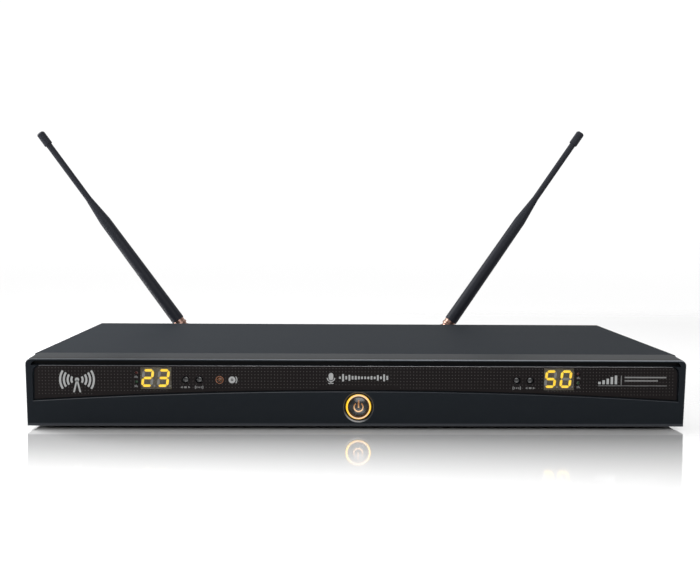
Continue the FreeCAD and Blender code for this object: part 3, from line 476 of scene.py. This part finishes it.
def disc(x, z, radius, steps=20):
    return arcPoints(x, z, radius, 0, 360, steps)[:-1]


def band(x, z, inner, outer, start, stop, steps=20):
    # an arc of even width
    return arcPoints(x, z, outer, start, stop, steps) + arcPoints(x, z, inner, stop, start, steps)


def ring(x, z, inner, outer, steps=32):
    # a whole ring, as two half bands
    return [band(x, z, inner, outer, 0, 180, steps // 2), band(x, z, inner, outer, 180, 360, steps // 2)]


def bar(x, z, width, height, lean=0.0):
    # an upright bar about its middle; lean shifts its top sideways
    w = width / 2
    h = height / 2
    return [(x - w - lean, z - h), (x + w - lean, z - h), (x + w + lean, z + h), (x - w + lean, z + h)]


def lathe(bm, profile, centre, axis="Y", steps=64, slot=0):
    # turns a closed (along, radius) profile about an axis through the centre
    rings = []
    for along, radius in profile:
        if radius < 1e-6:
            spot = (0, along, 0) if axis == "Y" else (0, 0, along)
            rings.append([bm.verts.new(Vector(spot) * mm + centre)])
            continue
        circle = []
        for i in range(steps):
            angle = 2 * math.pi * i / steps
            a = radius * math.cos(angle)
            b = radius * math.sin(angle)
            spot = (a, along, b) if axis == "Y" else (a, b, along)
            circle.append(bm.verts.new(Vector(spot) * mm + centre))
        rings.append(circle)
    faces = []
    for first, second in zip(rings, rings[1:] + rings[:1]):
        if len(first) == 1 and len(second) == 1:
            continue
        for i in range(steps):
            j = (i + 1) % steps
            corners = [first[i % len(first)], first[j % len(first)],
                       second[j % len(second)], second[i % len(second)]]
            corners = list(dict.fromkeys(corners))
            faces.append(bm.faces.new(corners))
    for face in faces:
        face.material_index = slot
    bmesh.ops.recalc_face_normals(bm, faces=faces)


# ---- window, displays and marks ----

window = {"archRadius": 3437.8, "cornerRadius": 4.6, "edge": 0.22, "buttonHole": 2.45,
          "lampHole": 1.15, "lampInset": 1.0, "irHole": 2.1, "lensGap": 0.02}
buttonNames = ["%s_button_%s" % (job, side) for side in ("left", "right")
               for job in ("select", "sync")]


def windowOutline(inset=0.0):
    low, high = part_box("display_window")
    half = high.x / mm
    radius = window["archRadius"]
    centre = low.z / mm - math.sqrt(radius ** 2 - half ** 2)
    corner = window["cornerRadius"]
    half -= inset
    top = high.z / mm - inset
    points = []
    steps = 64
    for i in range(steps + 1):
        x = -half + 2 * half * i / steps
        points.append((x, centre + math.sqrt((radius + inset) ** 2 - x * x)))
    points += arcPoints(half - corner, top - corner, corner, 0, 90, 8)
    points += arcPoints(corner - half, top - corner, corner, 90, 180, 8)
    return points


def holeSpots():
    spots = [middle(name) for name in buttonNames]
    return [(spot.x / mm, spot.z / mm, window["buttonHole"]) for spot in spots]


def lampSpots():
    spots = []
    for name in ("rf_lamps", "af_lamps"):
        height = middle(name).z / mm
        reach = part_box(name)[1].x / mm - window["lampInset"]
        spots += [(-reach, height, window["lampHole"]), (reach, height, window["lampHole"])]
    return spots


def irSpots():
    ir = middle("ir_emitter")
    return [(ir.x / mm, ir.z / mm, window["irHole"])]


def flatCurve(name, outlines, thickness, edge):
    # a filled flat plate with holes and a small bevel on its edges, in the XY plane
    curve = bpy.data.curves.new(name, "CURVE")
    curve.dimensions = "2D"
    curve.fill_mode = "BOTH"
    curve.extrude = thickness / 2 - edge
    curve.bevel_depth = edge
    curve.bevel_resolution = 1
    curve.offset = -edge
    for outline in outlines:
        spline = curve.splines.new("POLY")
        spline.points.add(len(outline) - 1)
        for point, (x, z) in zip(spline.points, outline):
            point.co = (x * mm, z * mm, 0, 1)
        spline.use_cyclic_u = True
    return curve


def plateFromOutlines(name, outlines, front, back, edge, finishes, body):
    curve = flatCurve(name, outlines, back - front, edge)
    holder = bpy.data.objects.new(name + "Curve", curve)
    scene.collection.objects.link(holder)
    bpy.context.view_layer.update()
    evaluated = holder.evaluated_get(bpy.context.evaluated_depsgraph_get())
    mesh = bpy.data.meshes.new_from_object(evaluated)
    bpy.data.objects.remove(holder)
    mesh.name = name
    mesh.transform(Matrix.Rotation(math.radians(90), 4, "X"))
    mesh.transform(Matrix.Translation((0, (front + back) / 2, 0)))
    bm = bmesh.new()
    bm.from_mesh(mesh)
    bpy.data.meshes.remove(mesh)
    bmesh.ops.remove_doubles(bm, verts=bm.verts, dist=1e-6)
    bmesh.ops.recalc_face_normals(bm, faces=bm.faces)
    top = max(vertex.co.z for vertex in bm.verts) - 0.5 * mm
    for face in bm.faces:
        # the faces along the top edge take the second finish, on the window a painted highlight
        rim = abs(face.normal.y) < 0.95 and face.calc_center_median().z > top
        face.material_index = 1 if rim and len(finishes) > 1 else 0
    piece = makePiece(name, bm, finishes, 3)
    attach(piece, body)
    return piece


def makeWindow():
    low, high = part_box("display_window")
    gap = window["lensGap"]
    outlines = [windowOutline()]
    outlines += [disc(x, z, r, 32) for x, z, r in holeSpots() + lampSpots() + irSpots()]
    lenses = [disc(x, z, r - gap, 32) for x, z, r in lampSpots() + irSpots()]
    for side in ("left", "right"):
        least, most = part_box("digit_display_" + side)
        spot = (least + most) / 2
        width = (most.x - least.x) / mm
        height = (most.z - least.z) / mm
        outlines.append(bar(spot.x / mm, spot.z / mm, width, height))
        lenses.append(bar(spot.x / mm, spot.z / mm, width - 2 * gap, height - 2 * gap))
    piece = plateFromOutlines("tintedWindow", outlines, low.y, high.y, window["edge"] * mm,
                              ["windowSmoke", "windowEdge"], "case")
    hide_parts("display_window")
    plateFromOutlines("clearLenses", lenses, low.y + gap * mm, low.y + 0.5 * mm, 0.03 * mm,
                      ["clearLens"], "case")


digits = {"width": 5.8, "height": 10.0, "stroke": 1.65, "slant": 0.11, "gap": 0.22,
          "pitch": 10.1, "left": "23", "right": "50", "thickness": 0.1,
          "shift": 0.4, "dotAcross": 4.3, "dotDrop": 5.2, "dotRadius": 0.55}
segmentsOf = {"0": "abcdef", "2": "abged", "3": "abgcd", "5": "afgcd"}


def segmentOutline(letter, x, z):
    # one pointed bar of a seven-segment digit, leaning a little to the right
    w = digits["width"] / 2
    h = digits["height"] / 2
    s = digits["stroke"] / 2
    g = digits["gap"]
    lines = {"a": ((-w, h), (w, h)), "g": ((-w, 0), (w, 0)), "d": ((-w, -h), (w, -h)),
             "f": ((-w, 0), (-w, h)), "b": ((w, 0), (w, h)),
             "e": ((-w, -h), (-w, 0)), "c": ((w, -h), (w, 0))}
    (x0, z0), (x1, z1) = lines[letter]
    if z0 == z1:
        points = [(x0 + g, z0), (x0 + g + s, z0 + s), (x1 - g - s, z0 + s), (x1 - g, z0),
                  (x1 - g - s, z0 - s), (x0 + g + s, z0 - s)]
    else:
        points = [(x0, z0 + g), (x0 + s, z0 + g + s), (x0 + s, z1 - g - s), (x0, z1 - g),
                  (x0 - s, z1 - g - s), (x0 - s, z0 + g + s)]
    return [(x + px + pz * digits["slant"], z + pz) for px, pz in points]


def makeDigits():
    lit = bmesh.new()
    dim = bmesh.new()
    for side in ("left", "right"):
        low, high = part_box("digit_display_" + side)
        spot = (low + high) / 2
        front = low.y - digits["thickness"] * mm
        for number, figure in enumerate(digits[side]):
            x = spot.x / mm + (number - 0.5) * digits["pitch"] - digits["shift"]
            z = spot.z / mm
            for letter in "abcdefg":
                target = lit if letter in segmentsOf[figure] else dim
                prism(target, segmentOutline(letter, x, z), front, low.y)
            point = disc(x + digits["dotAcross"], z - digits["dotDrop"], digits["dotRadius"], 16)
            prism(dim, point, front, low.y)
    for name, bm, finish in (("litSegments", lit, "segmentLit"), ("darkSegments", dim, "segmentOff")):
        piece = makePiece(name, bm, [finish])
        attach(piece, "case")


marks = {"proud": 0.03, "waveX": -181.5, "waveZ": 29.3, "centreZ": 34.2, "rightX": 168.0,
         "captionDrop": 4.9, "iconX": -82.0}


def makeMarks():
    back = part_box("display_window")[0].y
    front = back - marks["proud"] * mm
    white = bmesh.new()
    dim = bmesh.new()
    amber = bmesh.new()

    def draw(bm, *outlines):
        for outline in outlines:
            prism(bm, outline, front, back)

    # left: a mast with radio waves on both sides
    x = marks["waveX"]
    z = marks["waveZ"]
    draw(white, [(x - 2.6, z - 5), (x - 1.5, z - 5), (x, z + 1.2), (x + 1.5, z - 5),
                 (x + 2.6, z - 5), (x + 0.6, z + 3), (x - 0.6, z + 3)])
    draw(white, disc(x, z + 3.2, 1.35))
    for radius in (3.6, 6.0, 8.4, 10.8):
        for turn in (0, 180):
            draw(white, band(x, z + 3.2, radius - 0.65, radius + 0.65, turn - 33, turn + 33, 12))
    # middle: a small microphone beside a row of level bars
    z = marks["centreZ"]
    x = -18.0
    draw(white, arcPoints(x, z + 1.6, 1.5, 0, 180, 10) + arcPoints(x, z - 0.2, 1.5, 180, 360, 10))
    draw(white, band(x, z - 0.1, 2.1, 2.7, 180, 360, 14), bar(x, z - 3.2, 0.7, 1.2),
         bar(x, z - 3.7, 3.4, 0.6))
    for number in range(16):
        height = 1.4 + 3.6 * abs(math.sin(number * 1.7)) * (0.55 + 0.45 * math.cos(number * 0.4))
        draw(white, bar(-12.2 + number * 2.05, z, 1.15, height))
    # right: signal steps and two plain rules
    x = marks["rightX"]
    z = 33.0
    for number in range(5):
        height = 1.6 + number * 1.05
        draw(white, bar(x - 10.5 + number * 2.7, z - 2.6 + height / 2, 1.6, height))
    draw(dim, bar(x + 3.8, z, 0.5, 6.2))
    for row, length in ((1.9, 27.5), (-0.3, 22.0)):
        draw(dim, bar(x + 6 + length / 2, z + row, length, 0.9))
    draw(dim, bar(x + 11.2, z - 3.6, 45.5, 0.35))
    # captions under the buttons and lamps
    for name in buttonNames:
        spot = middle(name)
        x = spot.x / mm
        z = spot.z / mm - marks["captionDrop"]
        if name.startswith("select"):
            draw(dim, [(x - 3.2, z), (x - 1.8, z + 0.75), (x - 1.8, z - 0.75)],
                 bar(x, z, 1.7, 1.1), [(x + 3.2, z), (x + 1.8, z - 0.75), (x + 1.8, z + 0.75)])
        else:
            draw(dim, disc(x, z, 0.5, 12))
            for radius in (1.4, 2.5):
                for turn in (0, 180):
                    draw(dim, band(x, z, radius - 0.27, radius + 0.27, turn - 26, turn + 26, 6))
    for x, z, radius in lampSpots():
        draw(dim, bar(x - 0.75, z - 2.6, 0.45, 1.2), bar(x, z - 2.45, 0.45, 1.5),
             bar(x + 0.75, z - 2.75, 0.45, 0.9))
    # infrared port and its symbol
    ir = middle("ir_emitter")
    x = ir.x / mm
    z = ir.z / mm
    draw(amber, *ring(x, z, 2.12, 2.5))
    x = marks["iconX"]
    draw(white, *ring(x, z, 0.85, 2.2))
    draw(white, bar(x, z, 0.9, 0.45), band(x, z, 2.95, 3.45, -42, 42, 10))
    for name, bm, finish in (("printedMarks", white, "printWhite"),
                             ("printedCaptions", dim, "printDim"),
                             ("infraredRing", amber, "printAmber")):
        piece = makePiece(name, bm, [finish])
        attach(piece, "case")


# ---- power button ----

power = {"capRadius": 6.1, "domeRise": 1.3, "ringInner": 2.5, "ringOuter": 3.3,
         "barLow": -0.4, "barHigh": 4.6, "barWidth": 0.95, "proud": 0.04}


def domeFront(x, z, apex):
    # how far forward the cap's dome is, at a distance from its axis
    sphere = (power["capRadius"] ** 2 + power["domeRise"] ** 2) / (2 * power["domeRise"])
    sag = sphere - math.sqrt(sphere ** 2 - x * x - z * z)
    return apex + sag * mm


def makePowerButton():
    low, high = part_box("power_button")
    centre = Vector((0, 0, (low.z + high.z) / 2))
    apex = low.y
    bm = bmesh.new()
    profile = []
    steps = 12
    for i in range(steps + 1):
        radius = power["capRadius"] * i / steps
        profile.append((domeFront(radius, 0, apex) / mm, radius))
    flange = (high.x - low.x) / 2 / mm
    back = high.y / mm
    profile += [(apex / mm + 1.5, power["capRadius"]), (back - 0.6, power["capRadius"]),
                (back - 0.6, flange), (back, flange), (back, 0)]
    lathe(bm, profile, centre)
    cap = makePiece("powerCap", bm, ["buttonGloss"])
    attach(cap, "power_button")
    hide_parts("power_button")
    bm = bmesh.new()

    def domed(outline):
        # a thin mark that follows the dome
        fore = []
        rear = []
        for x, z in outline:
            y = domeFront(x, z, apex)
            fore.append(bm.verts.new((x * mm, y - power["proud"] * mm, z * mm + centre.z)))
            rear.append(bm.verts.new((x * mm, y + 0.05 * mm, z * mm + centre.z)))
        return fore, rear

    def strip(inner, outer):
        # joins two runs of points of equal length with a thin closed band
        fore1, rear1 = domed(inner)
        fore2, rear2 = domed(outer)
        faces = []
        count = len(inner)
        for i in range(count - 1):
            faces.append(bm.faces.new((fore1[i], fore1[i + 1], fore2[i + 1], fore2[i])))
            faces.append(bm.faces.new((rear1[i], rear2[i], rear2[i + 1], rear1[i + 1])))
            faces.append(bm.faces.new((fore1[i], rear1[i], rear1[i + 1], fore1[i + 1])))
            faces.append(bm.faces.new((fore2[i], fore2[i + 1], rear2[i + 1], rear2[i])))
        faces.append(bm.faces.new((fore1[0], fore2[0], rear2[0], rear1[0])))
        faces.append(bm.faces.new((fore1[-1], rear1[-1], rear2[-1], fore2[-1])))
        bmesh.ops.recalc_face_normals(bm, faces=faces)

    strip(arcPoints(0, 0, power["ringInner"], 128, 412, 40),
          arcPoints(0, 0, power["ringOuter"], 128, 412, 40))
    half = power["barWidth"] / 2
    heights = [power["barLow"] + (power["barHigh"] - power["barLow"]) * i / 8 for i in range(9)]
    strip([(-half, z) for z in heights], [(half, z) for z in heights])
    symbol = makePiece("powerSymbol", bm, ["symbolLit"])
    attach(symbol, "power_button")


def makeSmallButtons():
    for name in buttonNames:
        low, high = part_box(name)
        centre = Vector(((low.x + high.x) / 2, 0, (low.z + high.z) / 2))
        front = low.y / mm
        flange = (high.x - low.x) / 2 / mm
        radius = smallButton["radius"]
        profile = [(front, 0)]
        for angle in range(10, 91, 10):
            turn = math.radians(angle)
            sag = smallButton["dome"] * (1 - math.cos(turn))
            profile.append((front + sag, radius * math.sin(turn)))
        back = high.y / mm
        profile += [(back - 0.5, radius), (back - 0.5, flange), (back, flange), (back, 0)]
        bm = bmesh.new()
        lathe(bm, profile, centre, steps=40)
        cap = makePiece("domed_" + name, bm, ["buttonGloss"])
        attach(cap, name)
        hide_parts(name)


smallButton = {"radius": 2.15, "dome": 0.9}

makeWindow()
makeDigits()
makeMarks()
makePowerButton()
makeSmallButtons()
print("front made")


# ---- repeated things, made by Geometry Nodes ----

class Field(Graph):
    # a Geometry Nodes group with one geometry in and one out, and named numbers and objects
    def __init__(self, name, values):
        super().__init__(bpy.data.node_groups.new(name, "GeometryNodeTree"))
        face = self.tree.interface
        face.new_socket("Geometry", in_out="OUTPUT", socket_type="NodeSocketGeometry")
        face.new_socket("Geometry", in_out="INPUT", socket_type="NodeSocketGeometry")
        self.values = {}
        kinds = {int: "Int", float: "Float", bpy.types.Material: "Material", bpy.types.Object: "Object"}
        for key, value in values.items():
            kind = "NodeSocket" + kinds[type(value)]
            self.values[face.new_socket(key, in_out="INPUT", socket_type=kind).identifier] = value
        self.start = self.tree.nodes.new("NodeGroupInput")

    def input(self, name):
        return Value(self, self.start.outputs[name])

    def finish(self, geometry, finish):
        real = self.node("GeometryNodeRealizeInstances", {}, {0: geometry})
        dressed = self.node("GeometryNodeSetMaterial", {}, {"Geometry": real, "Material": finish})
        end = self.tree.nodes.new("NodeGroupOutput")
        self.connect(end.inputs[0], dressed)

    def apply(self, name, mesh, finish, body, slotName):
        # runs the group once on a mesh and keeps the outcome as one piece
        holder = bpy.data.objects.new(name + "Maker", mesh)
        scene.collection.objects.link(holder)
        modifier = holder.modifiers.new("field", "NODES")
        modifier.node_group = self.tree
        for key, value in self.values.items():
            modifier[key] = value
        holder.update_tag()
        bpy.context.view_layer.update()
        evaluated = holder.evaluated_get(bpy.context.evaluated_depsgraph_get())
        made = bpy.data.meshes.new_from_object(evaluated)
        holder.modifiers.remove(modifier)
        bpy.data.objects.remove(holder)
        made.name = name
        made.materials.clear()
        made.materials.append(materials[finish])
        made.set_sharp_from_angle(angle=math.radians(35))
        piece = bpy.data.objects.new(name, made)
        scene.collection.objects.link(piece)
        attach(piece, body)
        return piece


def makeDotGrid():
    # the fine grid of dots printed inside the window, left out over the displays and buttons
    low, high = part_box("display_window")
    pitch = dotGrid["pitch"] * mm
    across = int((high.x - low.x) / pitch) - 1
    upward = int((high.z - low.z) / pitch) + 1
    field = Field("dotGrid", {
        "Pitch": pitch, "Columns": across, "Rows": upward, "Dot Radius": dotGrid["radius"] * mm,
        "Arch Radius": window["archRadius"] * mm, "Margin": dotGrid["margin"] * mm,
        "Finish": materials["windowDot"]})
    centre = low.z - math.sqrt((window["archRadius"] * mm) ** 2 - high.x ** 2)
    columns = field.input("Columns")
    rows = field.input("Rows")
    step = field.input("Pitch")
    sizes = {"Size X": (columns - 1) * step, "Size Y": (rows - 1) * step,
             "Vertices X": columns, "Vertices Y": rows}
    grid = field.node("GeometryNodeMeshGrid", {}, sizes)
    place = field.node("GeometryNodeInputPosition", {}, {})
    x = field.node("ShaderNodeSeparateXYZ", {}, {0: place}, "X")
    y = field.node("ShaderNodeSeparateXYZ", {}, {0: place}, "Y")
    middleZ = high.z - dotGrid["margin"] * mm - (upward - 1) * pitch / 2
    radius = field.input("Arch Radius")
    arch = (radius * radius - x * x) ** 0.5 + centre
    drop = y + middleZ < arch + field.input("Margin")
    for side in ("left", "right"):
        least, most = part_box("digit_display_" + side)
        spot = (least + most) / 2
        away = field.node("ShaderNodeMath", {"operation": "ABSOLUTE"}, {0: x - spot.x})
        rise = field.node("ShaderNodeMath", {"operation": "ABSOLUTE"}, {0: y + (middleZ - spot.z)})
        inside = (away < (most.x - least.x) / 2 + 0.6 * mm) * (rise < (most.z - least.z) / 2 + 0.6 * mm)
        drop = drop + inside
    for spotX, spotZ, hole in holeSpots() + lampSpots() + irSpots():
        away = x - spotX * mm
        rise = y + (middleZ - spotZ * mm)
        drop = drop + (away * away + rise * rise < ((hole + 0.6) * mm) ** 2)
    chosen = {"Geometry": grid, "Selection": drop > 0.5}
    kept = field.node("GeometryNodeDeleteGeometry", {"domain": "POINT"}, chosen)
    dot = field.node("GeometryNodeMeshCircle", {"fill_type": "NGON"},
                     {"Vertices": 8, "Radius": field.input("Dot Radius")})
    spread = field.node("GeometryNodeInstanceOnPoints", {}, {"Points": kept, "Instance": dot})
    turned = field.node("GeometryNodeTransform", {}, {
        "Geometry": spread, "Rotation": (math.radians(90), 0, 0),
        "Translation": (0, low.y - dotGrid["proud"] * mm, middleZ)})
    field.finish(turned, field.input("Finish"))
    field.apply("windowDots", bpy.data.meshes.new("dotSeed"), "windowDot", "case", "window_tint")


dotGrid = {"pitch": 2.1, "radius": 0.31, "margin": 1.6, "proud": 0.012}


def islands(name):
    # the boxes of a node's separate solids, found by walking its joined edges
    mesh = nodes[name].data
    parent = list(range(len(mesh.vertices)))

    def root(i):
        while parent[i] != i:
            parent[i] = parent[parent[i]]
            i = parent[i]
        return i

    seen = {}
    for vertex in mesh.vertices:
        key = tuple(round(value, 6) for value in vertex.co)
        parent[root(vertex.index)] = root(seen.setdefault(key, vertex.index))
    for edge in mesh.edges:
        parent[root(edge.vertices[0])] = root(edge.vertices[1])
    groups = {}
    matrix = nodes[name].matrix_world
    for vertex in mesh.vertices:
        groups.setdefault(root(vertex.index), []).append(matrix @ vertex.co)
    boxes = []
    for points in groups.values():
        low = Vector([min(point[i] for point in points) for i in range(3)])
        high = Vector([max(point[i] for point in points) for i in range(3)])
        boxes.append((low, high))
    return boxes


def makeScrewSeed(name, headRadius):
    # a pan head with a cross recess above a plain shank, along +Z from the head's seat
    spec = screws
    half = spec["crossWidth"] / 2
    reach = spec["crossReach"]
    rim = headRadius - spec["rimDrop"]
    top = spec["headHeight"]
    cross = [(reach, half), (half, half), (half, reach), (-half, reach), (-half, half),
             (-reach, half), (-reach, -half), (-half, -half), (-half, -reach), (half, -reach),
             (half, -half), (reach, -half)]
    bm = bmesh.new()
    outer = [bm.verts.new((x * mm, z * mm, top * mm)) for x, z in disc(0, 0, rim, 24)]
    inner = [bm.verts.new((x * mm, z * mm, top * mm)) for x, z in cross]
    deep = [bm.verts.new((x * mm * 0.8, z * mm * 0.8, (top - spec["crossDepth"]) * mm)) for x, z in cross]
    edges = []
    for ring in (outer, inner):
        for first, second in zip(ring, ring[1:] + ring[:1]):
            edges.append(bm.edges.new((first, second)))
    bmesh.ops.triangle_fill(bm, use_beauty=True, edges=edges)
    for i in range(12):
        j = (i + 1) % 12
        bm.faces.new((inner[i], inner[j], deep[j], deep[i]))
    bm.faces.new(deep)
    rings = [outer]
    for z, radius in ((top * 0.86, headRadius - 0.28), (top * 0.5, headRadius), (0, headRadius),
                      (0, spec["shank"]), (-spec["length"], spec["shank"])):
        rings.append([bm.verts.new((x * mm, y * mm, z * mm)) for x, y in disc(0, 0, radius, 24)])
    for first, second in zip(rings, rings[1:]):
        for i in range(24):
            j = (i + 1) % 24
            bm.faces.new((first[i], second[i], second[j], first[j]))
    bm.faces.new(rings[-1][::-1])
    bmesh.ops.recalc_face_normals(bm, faces=bm.faces)
    return makePiece(name, bm, [], 35)


screws = {"crossWidth": 0.75, "crossReach": 1.45, "crossDepth": 0.9, "rimDrop": 0.75,
          "headHeight": 1.6, "shank": 1.35, "length": 3.9, "seatDrop": 1.7}
screwHeads = {"case_screws": 2.8, "foot_screws": 2.8, "board_screws": 2.7, "xlr_screws": 2.7}


def makeScrews(name, headRadius):
    # every screw of a node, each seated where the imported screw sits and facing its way
    points = []
    facings = []
    for least, most in islands(name):
        size = most - least
        axis = max(range(3), key=lambda i: size[i])
        centre = (least + most) / 2
        facing = Vector((0, 0, 0))
        # the wide head end is the one away from the case's inside
        outwards = {0: math.copysign(1, centre.x), 1: 1.0, 2: -1.0 if name == "foot_screws" else 1.0}
        facing[axis] = outwards[axis]
        seat = centre.copy()
        end = most[axis] if facing[axis] > 0 else least[axis]
        seat[axis] = end - facing[axis] * screws["seatDrop"] * mm
        points.append(seat)
        facings.append(facing)
    mesh = bpy.data.meshes.new(name + "Points")
    mesh.from_pydata(points, [], [])
    layer = mesh.attributes.new("facing", "FLOAT_VECTOR", "POINT")
    for item, facing in zip(layer.data, facings):
        item.vector = facing
    seed = makeScrewSeed(name + "Seed", headRadius)
    field = Field(name + "Field", {
        "Spin": 0.6, "Screw": seed, "Finish": materials["screwBlack"]})
    facing = field.node("GeometryNodeInputNamedAttribute", {"data_type": "FLOAT_VECTOR"},
                        {"Name": "facing"})
    number = field.node("GeometryNodeInputIndex", {}, {})
    spin = field.node("ShaderNodeCombineXYZ", {}, {2: number * field.input("Spin")})
    lined = field.node("FunctionNodeAlignRotationToVector", {"axis": "Z"}, {"Vector": facing})
    turn = field.node("FunctionNodeRotateRotation", {"rotation_space": "LOCAL"},
                      {0: lined, 1: spin})
    shape = field.node("GeometryNodeObjectInfo", {}, {"Object": field.input("Screw")}, "Geometry")
    spread = field.node("GeometryNodeInstanceOnPoints", {}, {
        "Points": field.input("Geometry"), "Instance": shape, "Rotation": turn})
    field.finish(spread, field.input("Finish"))
    piece = field.apply("dressed_" + name, mesh, "screwBlack", "case", "screw_steel")
    bpy.data.objects.remove(seed)
    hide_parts(name)


def makeKnurls():
    # grip ribs around each bayonet ring
    for side in ("left", "right"):
        name = "bayonet_ring_" + side
        low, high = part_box(name)
        centre = (low + high) / 2
        radius = (high.x - low.x) / 2
        field = Field(name + "Field", {
            "Ribs": knurl["ribs"], "Ring Radius": radius + knurl["sink"] * mm,
            "Rib Length": knurl["length"] * mm, "Rib Width": knurl["width"] * mm,
            "Finish": materials["nickelPlate"]})
        circle = field.node("GeometryNodeMeshCircle", {}, {
            "Vertices": field.input("Ribs"), "Radius": field.input("Ring Radius")})
        width = field.input("Rib Width")
        size = field.node("ShaderNodeCombineXYZ", {}, {0: width, 1: width, 2: field.input("Rib Length")})
        rib = field.node("GeometryNodeMeshCube", {}, {"Size": size})
        outward = field.node("GeometryNodeInputPosition", {}, {})
        lined = field.node("FunctionNodeAlignRotationToVector", {"axis": "X"}, {"Vector": outward})
        spread = field.node("GeometryNodeInstanceOnPoints", {}, {
            "Points": circle, "Instance": rib, "Rotation": lined})
        turned = field.node("GeometryNodeTransform", {}, {
            "Geometry": spread, "Rotation": (math.radians(90), 0, 0),
            "Translation": tuple(centre)})
        field.finish(turned, field.input("Finish"))
        field.apply("knurl_" + side, bpy.data.meshes.new("knurlSeed"), "nickelPlate",
                    "bayonet_" + side, "nickel")


knurl = {"ribs": 40, "sink": -0.05, "length": 7.5, "width": 0.55}

makeDotGrid()
for screwNode, screwHead in screwHeads.items():
    makeScrews(screwNode, screwHead)
makeKnurls()
print("repeated things made")


# ---- floor, lights and camera ----

studio = {"lens": 47.0, "eye": (-0.0215, -0.6812, 0.1350), "yaw": 1.50, "pitch": 3.752, "roll": 0.42,
          "floorSize": 12.0, "mirror": 0.59, "contact": 0.3, "underHalf": (0.235, 0.208),
          "ambient": 0.28, "backdrop": 1.05}
# where along Y each change in the floor begins and is whole
floorZones = {"mirror": (-0.255, -0.10), "polished": (-0.855, -0.155), "behind": (0.10, 0.24),
              "beyond": (0.45, 0.85), "underFront": (-0.109, -0.105), "underBack": (0.05, 0.0)}
lamps = {
    "topBox": {"place": (-0.42, -0.05, 0.95), "aim": (-0.25, -0.05, 0), "size": (1.1, 1.0), "power": 4.2},
    "leftBox": {"place": (-0.75, 0.1, 0.45), "aim": (-0.3, 0, 0.03), "size": (0.4, 0.4), "power": 9.0},
    "frontBox": {"place": (0.16, -1.0, 0.58), "aim": (0, -0.09, 0.02), "size": (0.9, 0.5), "power": 6.5},
}


def makeFloor():
    # pale, polished where it mirrors the unit's front, and duller further forwards and behind
    paint = Paint("paleFloor")
    cloud = paint.noise(3.0, 3.0)
    paint.set(Base_Color=paint.mix(cloud, colour(0.92, 0.92, 0.92), colour(0.95, 0.95, 0.95)))
    x = paint.axis("X")
    y = paint.axis("Y")
    zones = {key: paint.share(y, start, stop) for key, (start, stop) in floorZones.items()}
    behind = zones["behind"] * (1 - zones["beyond"])
    paint.set(Roughness=paint.between(zones["polished"], 0.5, 0.05) + cloud * 0.02 + behind * 0.45)
    outside, inside = studio["underHalf"]
    beside = paint.share(x * x, outside ** 2, inside ** 2)
    under = zones["underFront"] * zones["underBack"] * beside
    paint.set(Metallic=zones["mirror"] * studio["mirror"] * (1 - under * studio["contact"]))
    bm = bmesh.new()
    bmesh.ops.create_grid(bm, x_segments=2, y_segments=2, size=studio["floorSize"] / 2)
    mesh = bpy.data.meshes.new("floor")
    bm.to_mesh(mesh)
    bm.free()
    mesh.materials.append(paint.material)
    floor = bpy.data.objects.new("floor", mesh)
    scene.collection.objects.link(floor)


def makeWorld():
    # a bright backdrop behind the unit and a dim room on the camera's side
    world = bpy.data.worlds.new("studio")
    world.use_nodes = True
    graph = Graph(world.node_tree)
    direction = graph.node("ShaderNodeTexCoord", {}, {}, "Generated")
    behind = graph.node("ShaderNodeSeparateXYZ", {}, {0: direction}, "Y")
    strength = graph.between(graph.share(behind, -0.05, 0.25), studio["ambient"], studio["backdrop"])
    background = world.node_tree.nodes["Background"]
    graph.connect(background.inputs["Color"], colour(1, 1, 1))
    graph.connect(background.inputs["Strength"], strength)
    scene.world = world


def makeLamps():
    for name, spec in lamps.items():
        data = bpy.data.lights.new(name, "AREA")
        data.shape = "RECTANGLE"
        data.size, data.size_y = spec["size"]
        data.energy = spec["power"]
        lamp = bpy.data.objects.new(name, data)
        lamp.location = spec["place"]
        facing = Vector(spec["aim"]) - lamp.location
        lamp.rotation_euler = facing.to_track_quat("-Z", "Y").to_euler()
        scene.collection.objects.link(lamp)


def makeCamera():
    yaw, pitch, roll = [math.radians(studio[key]) for key in ("yaw", "pitch", "roll")]
    forward = Vector((math.sin(yaw) * math.cos(pitch), math.cos(yaw) * math.cos(pitch), -math.sin(pitch)))
    level = Vector((math.cos(yaw), -math.sin(yaw), 0))
    up = level.cross(forward)
    right = level * math.cos(roll) + up * math.sin(roll)
    top = up * math.cos(roll) - level * math.sin(roll)
    data = bpy.data.cameras.new("camera")
    data.lens = studio["lens"]
    data.sensor_width = 36
    camera = bpy.data.objects.new("camera", data)
    turn = Matrix((right, top, -forward)).transposed()
    camera.matrix_world = Matrix.Translation(studio["eye"]) @ turn.to_4x4()
    scene.collection.objects.link(camera)
    scene.camera = camera


makeFloor()
makeWorld()
makeLamps()
scene.view_settings.view_transform = "Standard"
makeCamera()
print("scene made")
